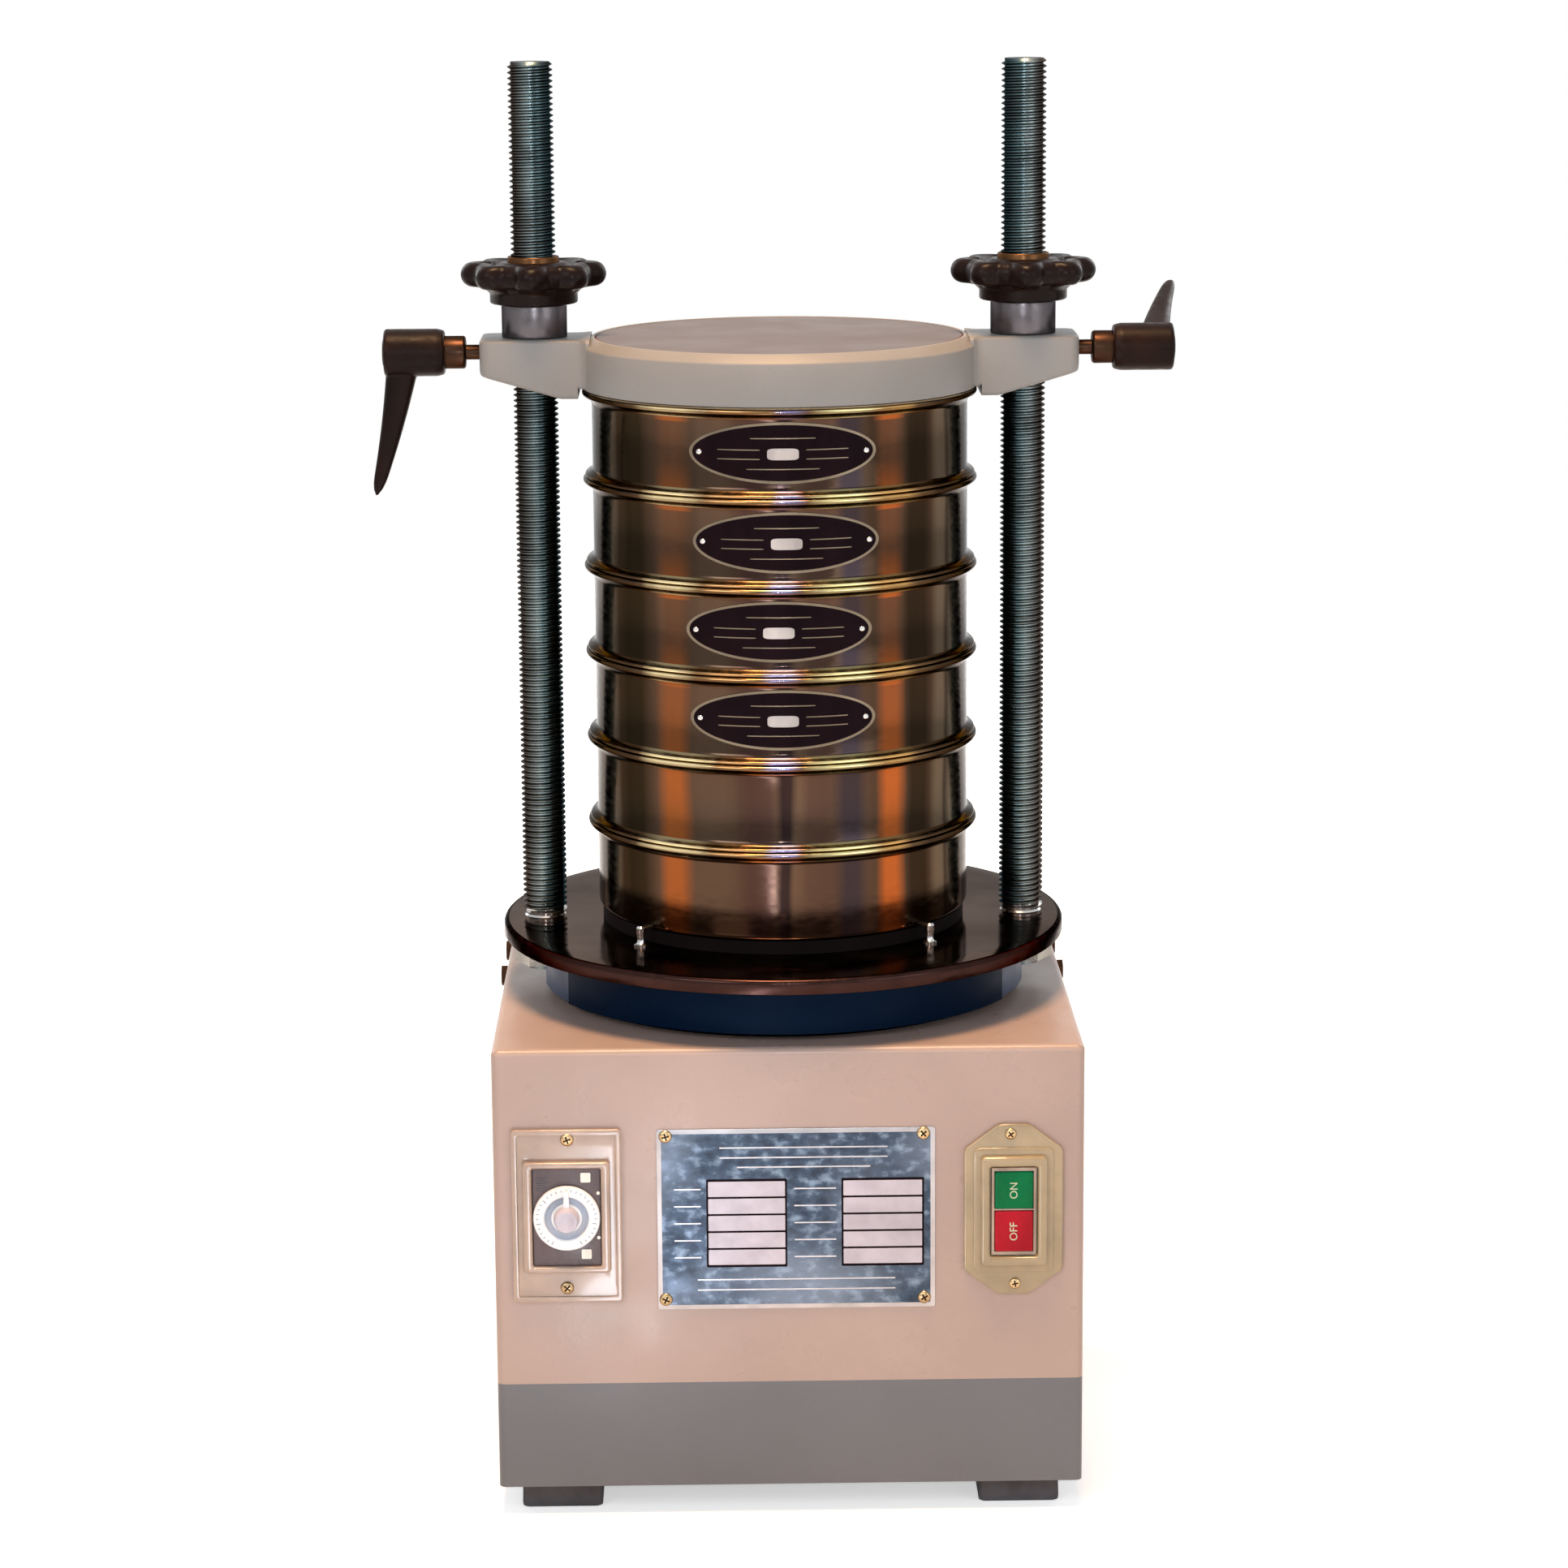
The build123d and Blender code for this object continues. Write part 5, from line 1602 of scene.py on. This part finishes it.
def direct_rays(tree):
    """Outputs of the light path, and what is 1 for camera and glossy rays."""
    rays = tree.add("LightPath", {})
    return rays, tree.math("MAXIMUM", rays["Is Camera Ray"], rays["Is Glossy Ray"])


def world():
    sky = bpy.data.worlds.new("studio")
    bpy.context.scene.world = sky
    tree = Tree(sky)
    soft = tree.nodes["Background"]
    tree.feed(soft, "Color", (1, 1, 1, 1))
    tree.feed(soft, "Strength", WORLD_LIGHT)
    seen = tree.add("Background", {"Color": (1, 1, 1, 1), "Strength": 1.0})[0]
    rays, direct = direct_rays(tree)
    white = tree.math("MAXIMUM", direct, rays["Is Transmission Ray"])
    mix = tree.add("MixShader", {0: white, 1: soft.outputs[0], 2: seen})[0]
    tree.feed(tree.nodes["World Output"], "Surface", mix)


def floor():
    """Pale floor that reads as white and keeps the object's shadow."""
    mesh = bpy.data.meshes.new("floor")
    mesh.from_pydata([(x, y, 0) for x, y in rectangle(FLOOR_SIDE, FLOOR_SIDE)], [], [(0, 1, 2, 3)])
    ground = bpy.data.objects.new("floor", mesh)
    bpy.context.scene.collection.objects.link(ground)
    ground.location.z = -0.0002
    paint = Finish("floor", (0.82, 0.82, 0.82, 1), 0.9, gloss_level=0.0)
    reach = paint.add("VectorMath", {0: paint.coords}, operation="LENGTH")["Value"]
    growth = paint.spread(reach, 0.25, 1.1, 0.5, 1.0)
    strength = paint.math("MULTIPLY", direct_rays(paint)[1], growth)
    glow = paint.add("Emission", {"Strength": strength})[0]
    lit = paint.add("AddShader", {0: paint.shader.outputs[0], 1: glow})[0]
    paint.feed(paint.nodes["Material Output"], "Surface", lit)
    mesh.materials.append(paint.material)


def main():
    finish_kept_nodes()
    rods()
    wheels()
    lever("left", -1)
    lever("right", 1)
    clamp_hoop()
    sleeves()
    for number in range(1, 6):
        sieve(number)
    receiver()
    oval_plates()
    tray()
    clips()
    timer()
    rating_plate()
    switch()
    feet()
    gland()
    camera()
    lights()
    world()
    floor()
    bpy.context.scene.view_settings.view_transform = "Standard"


main()
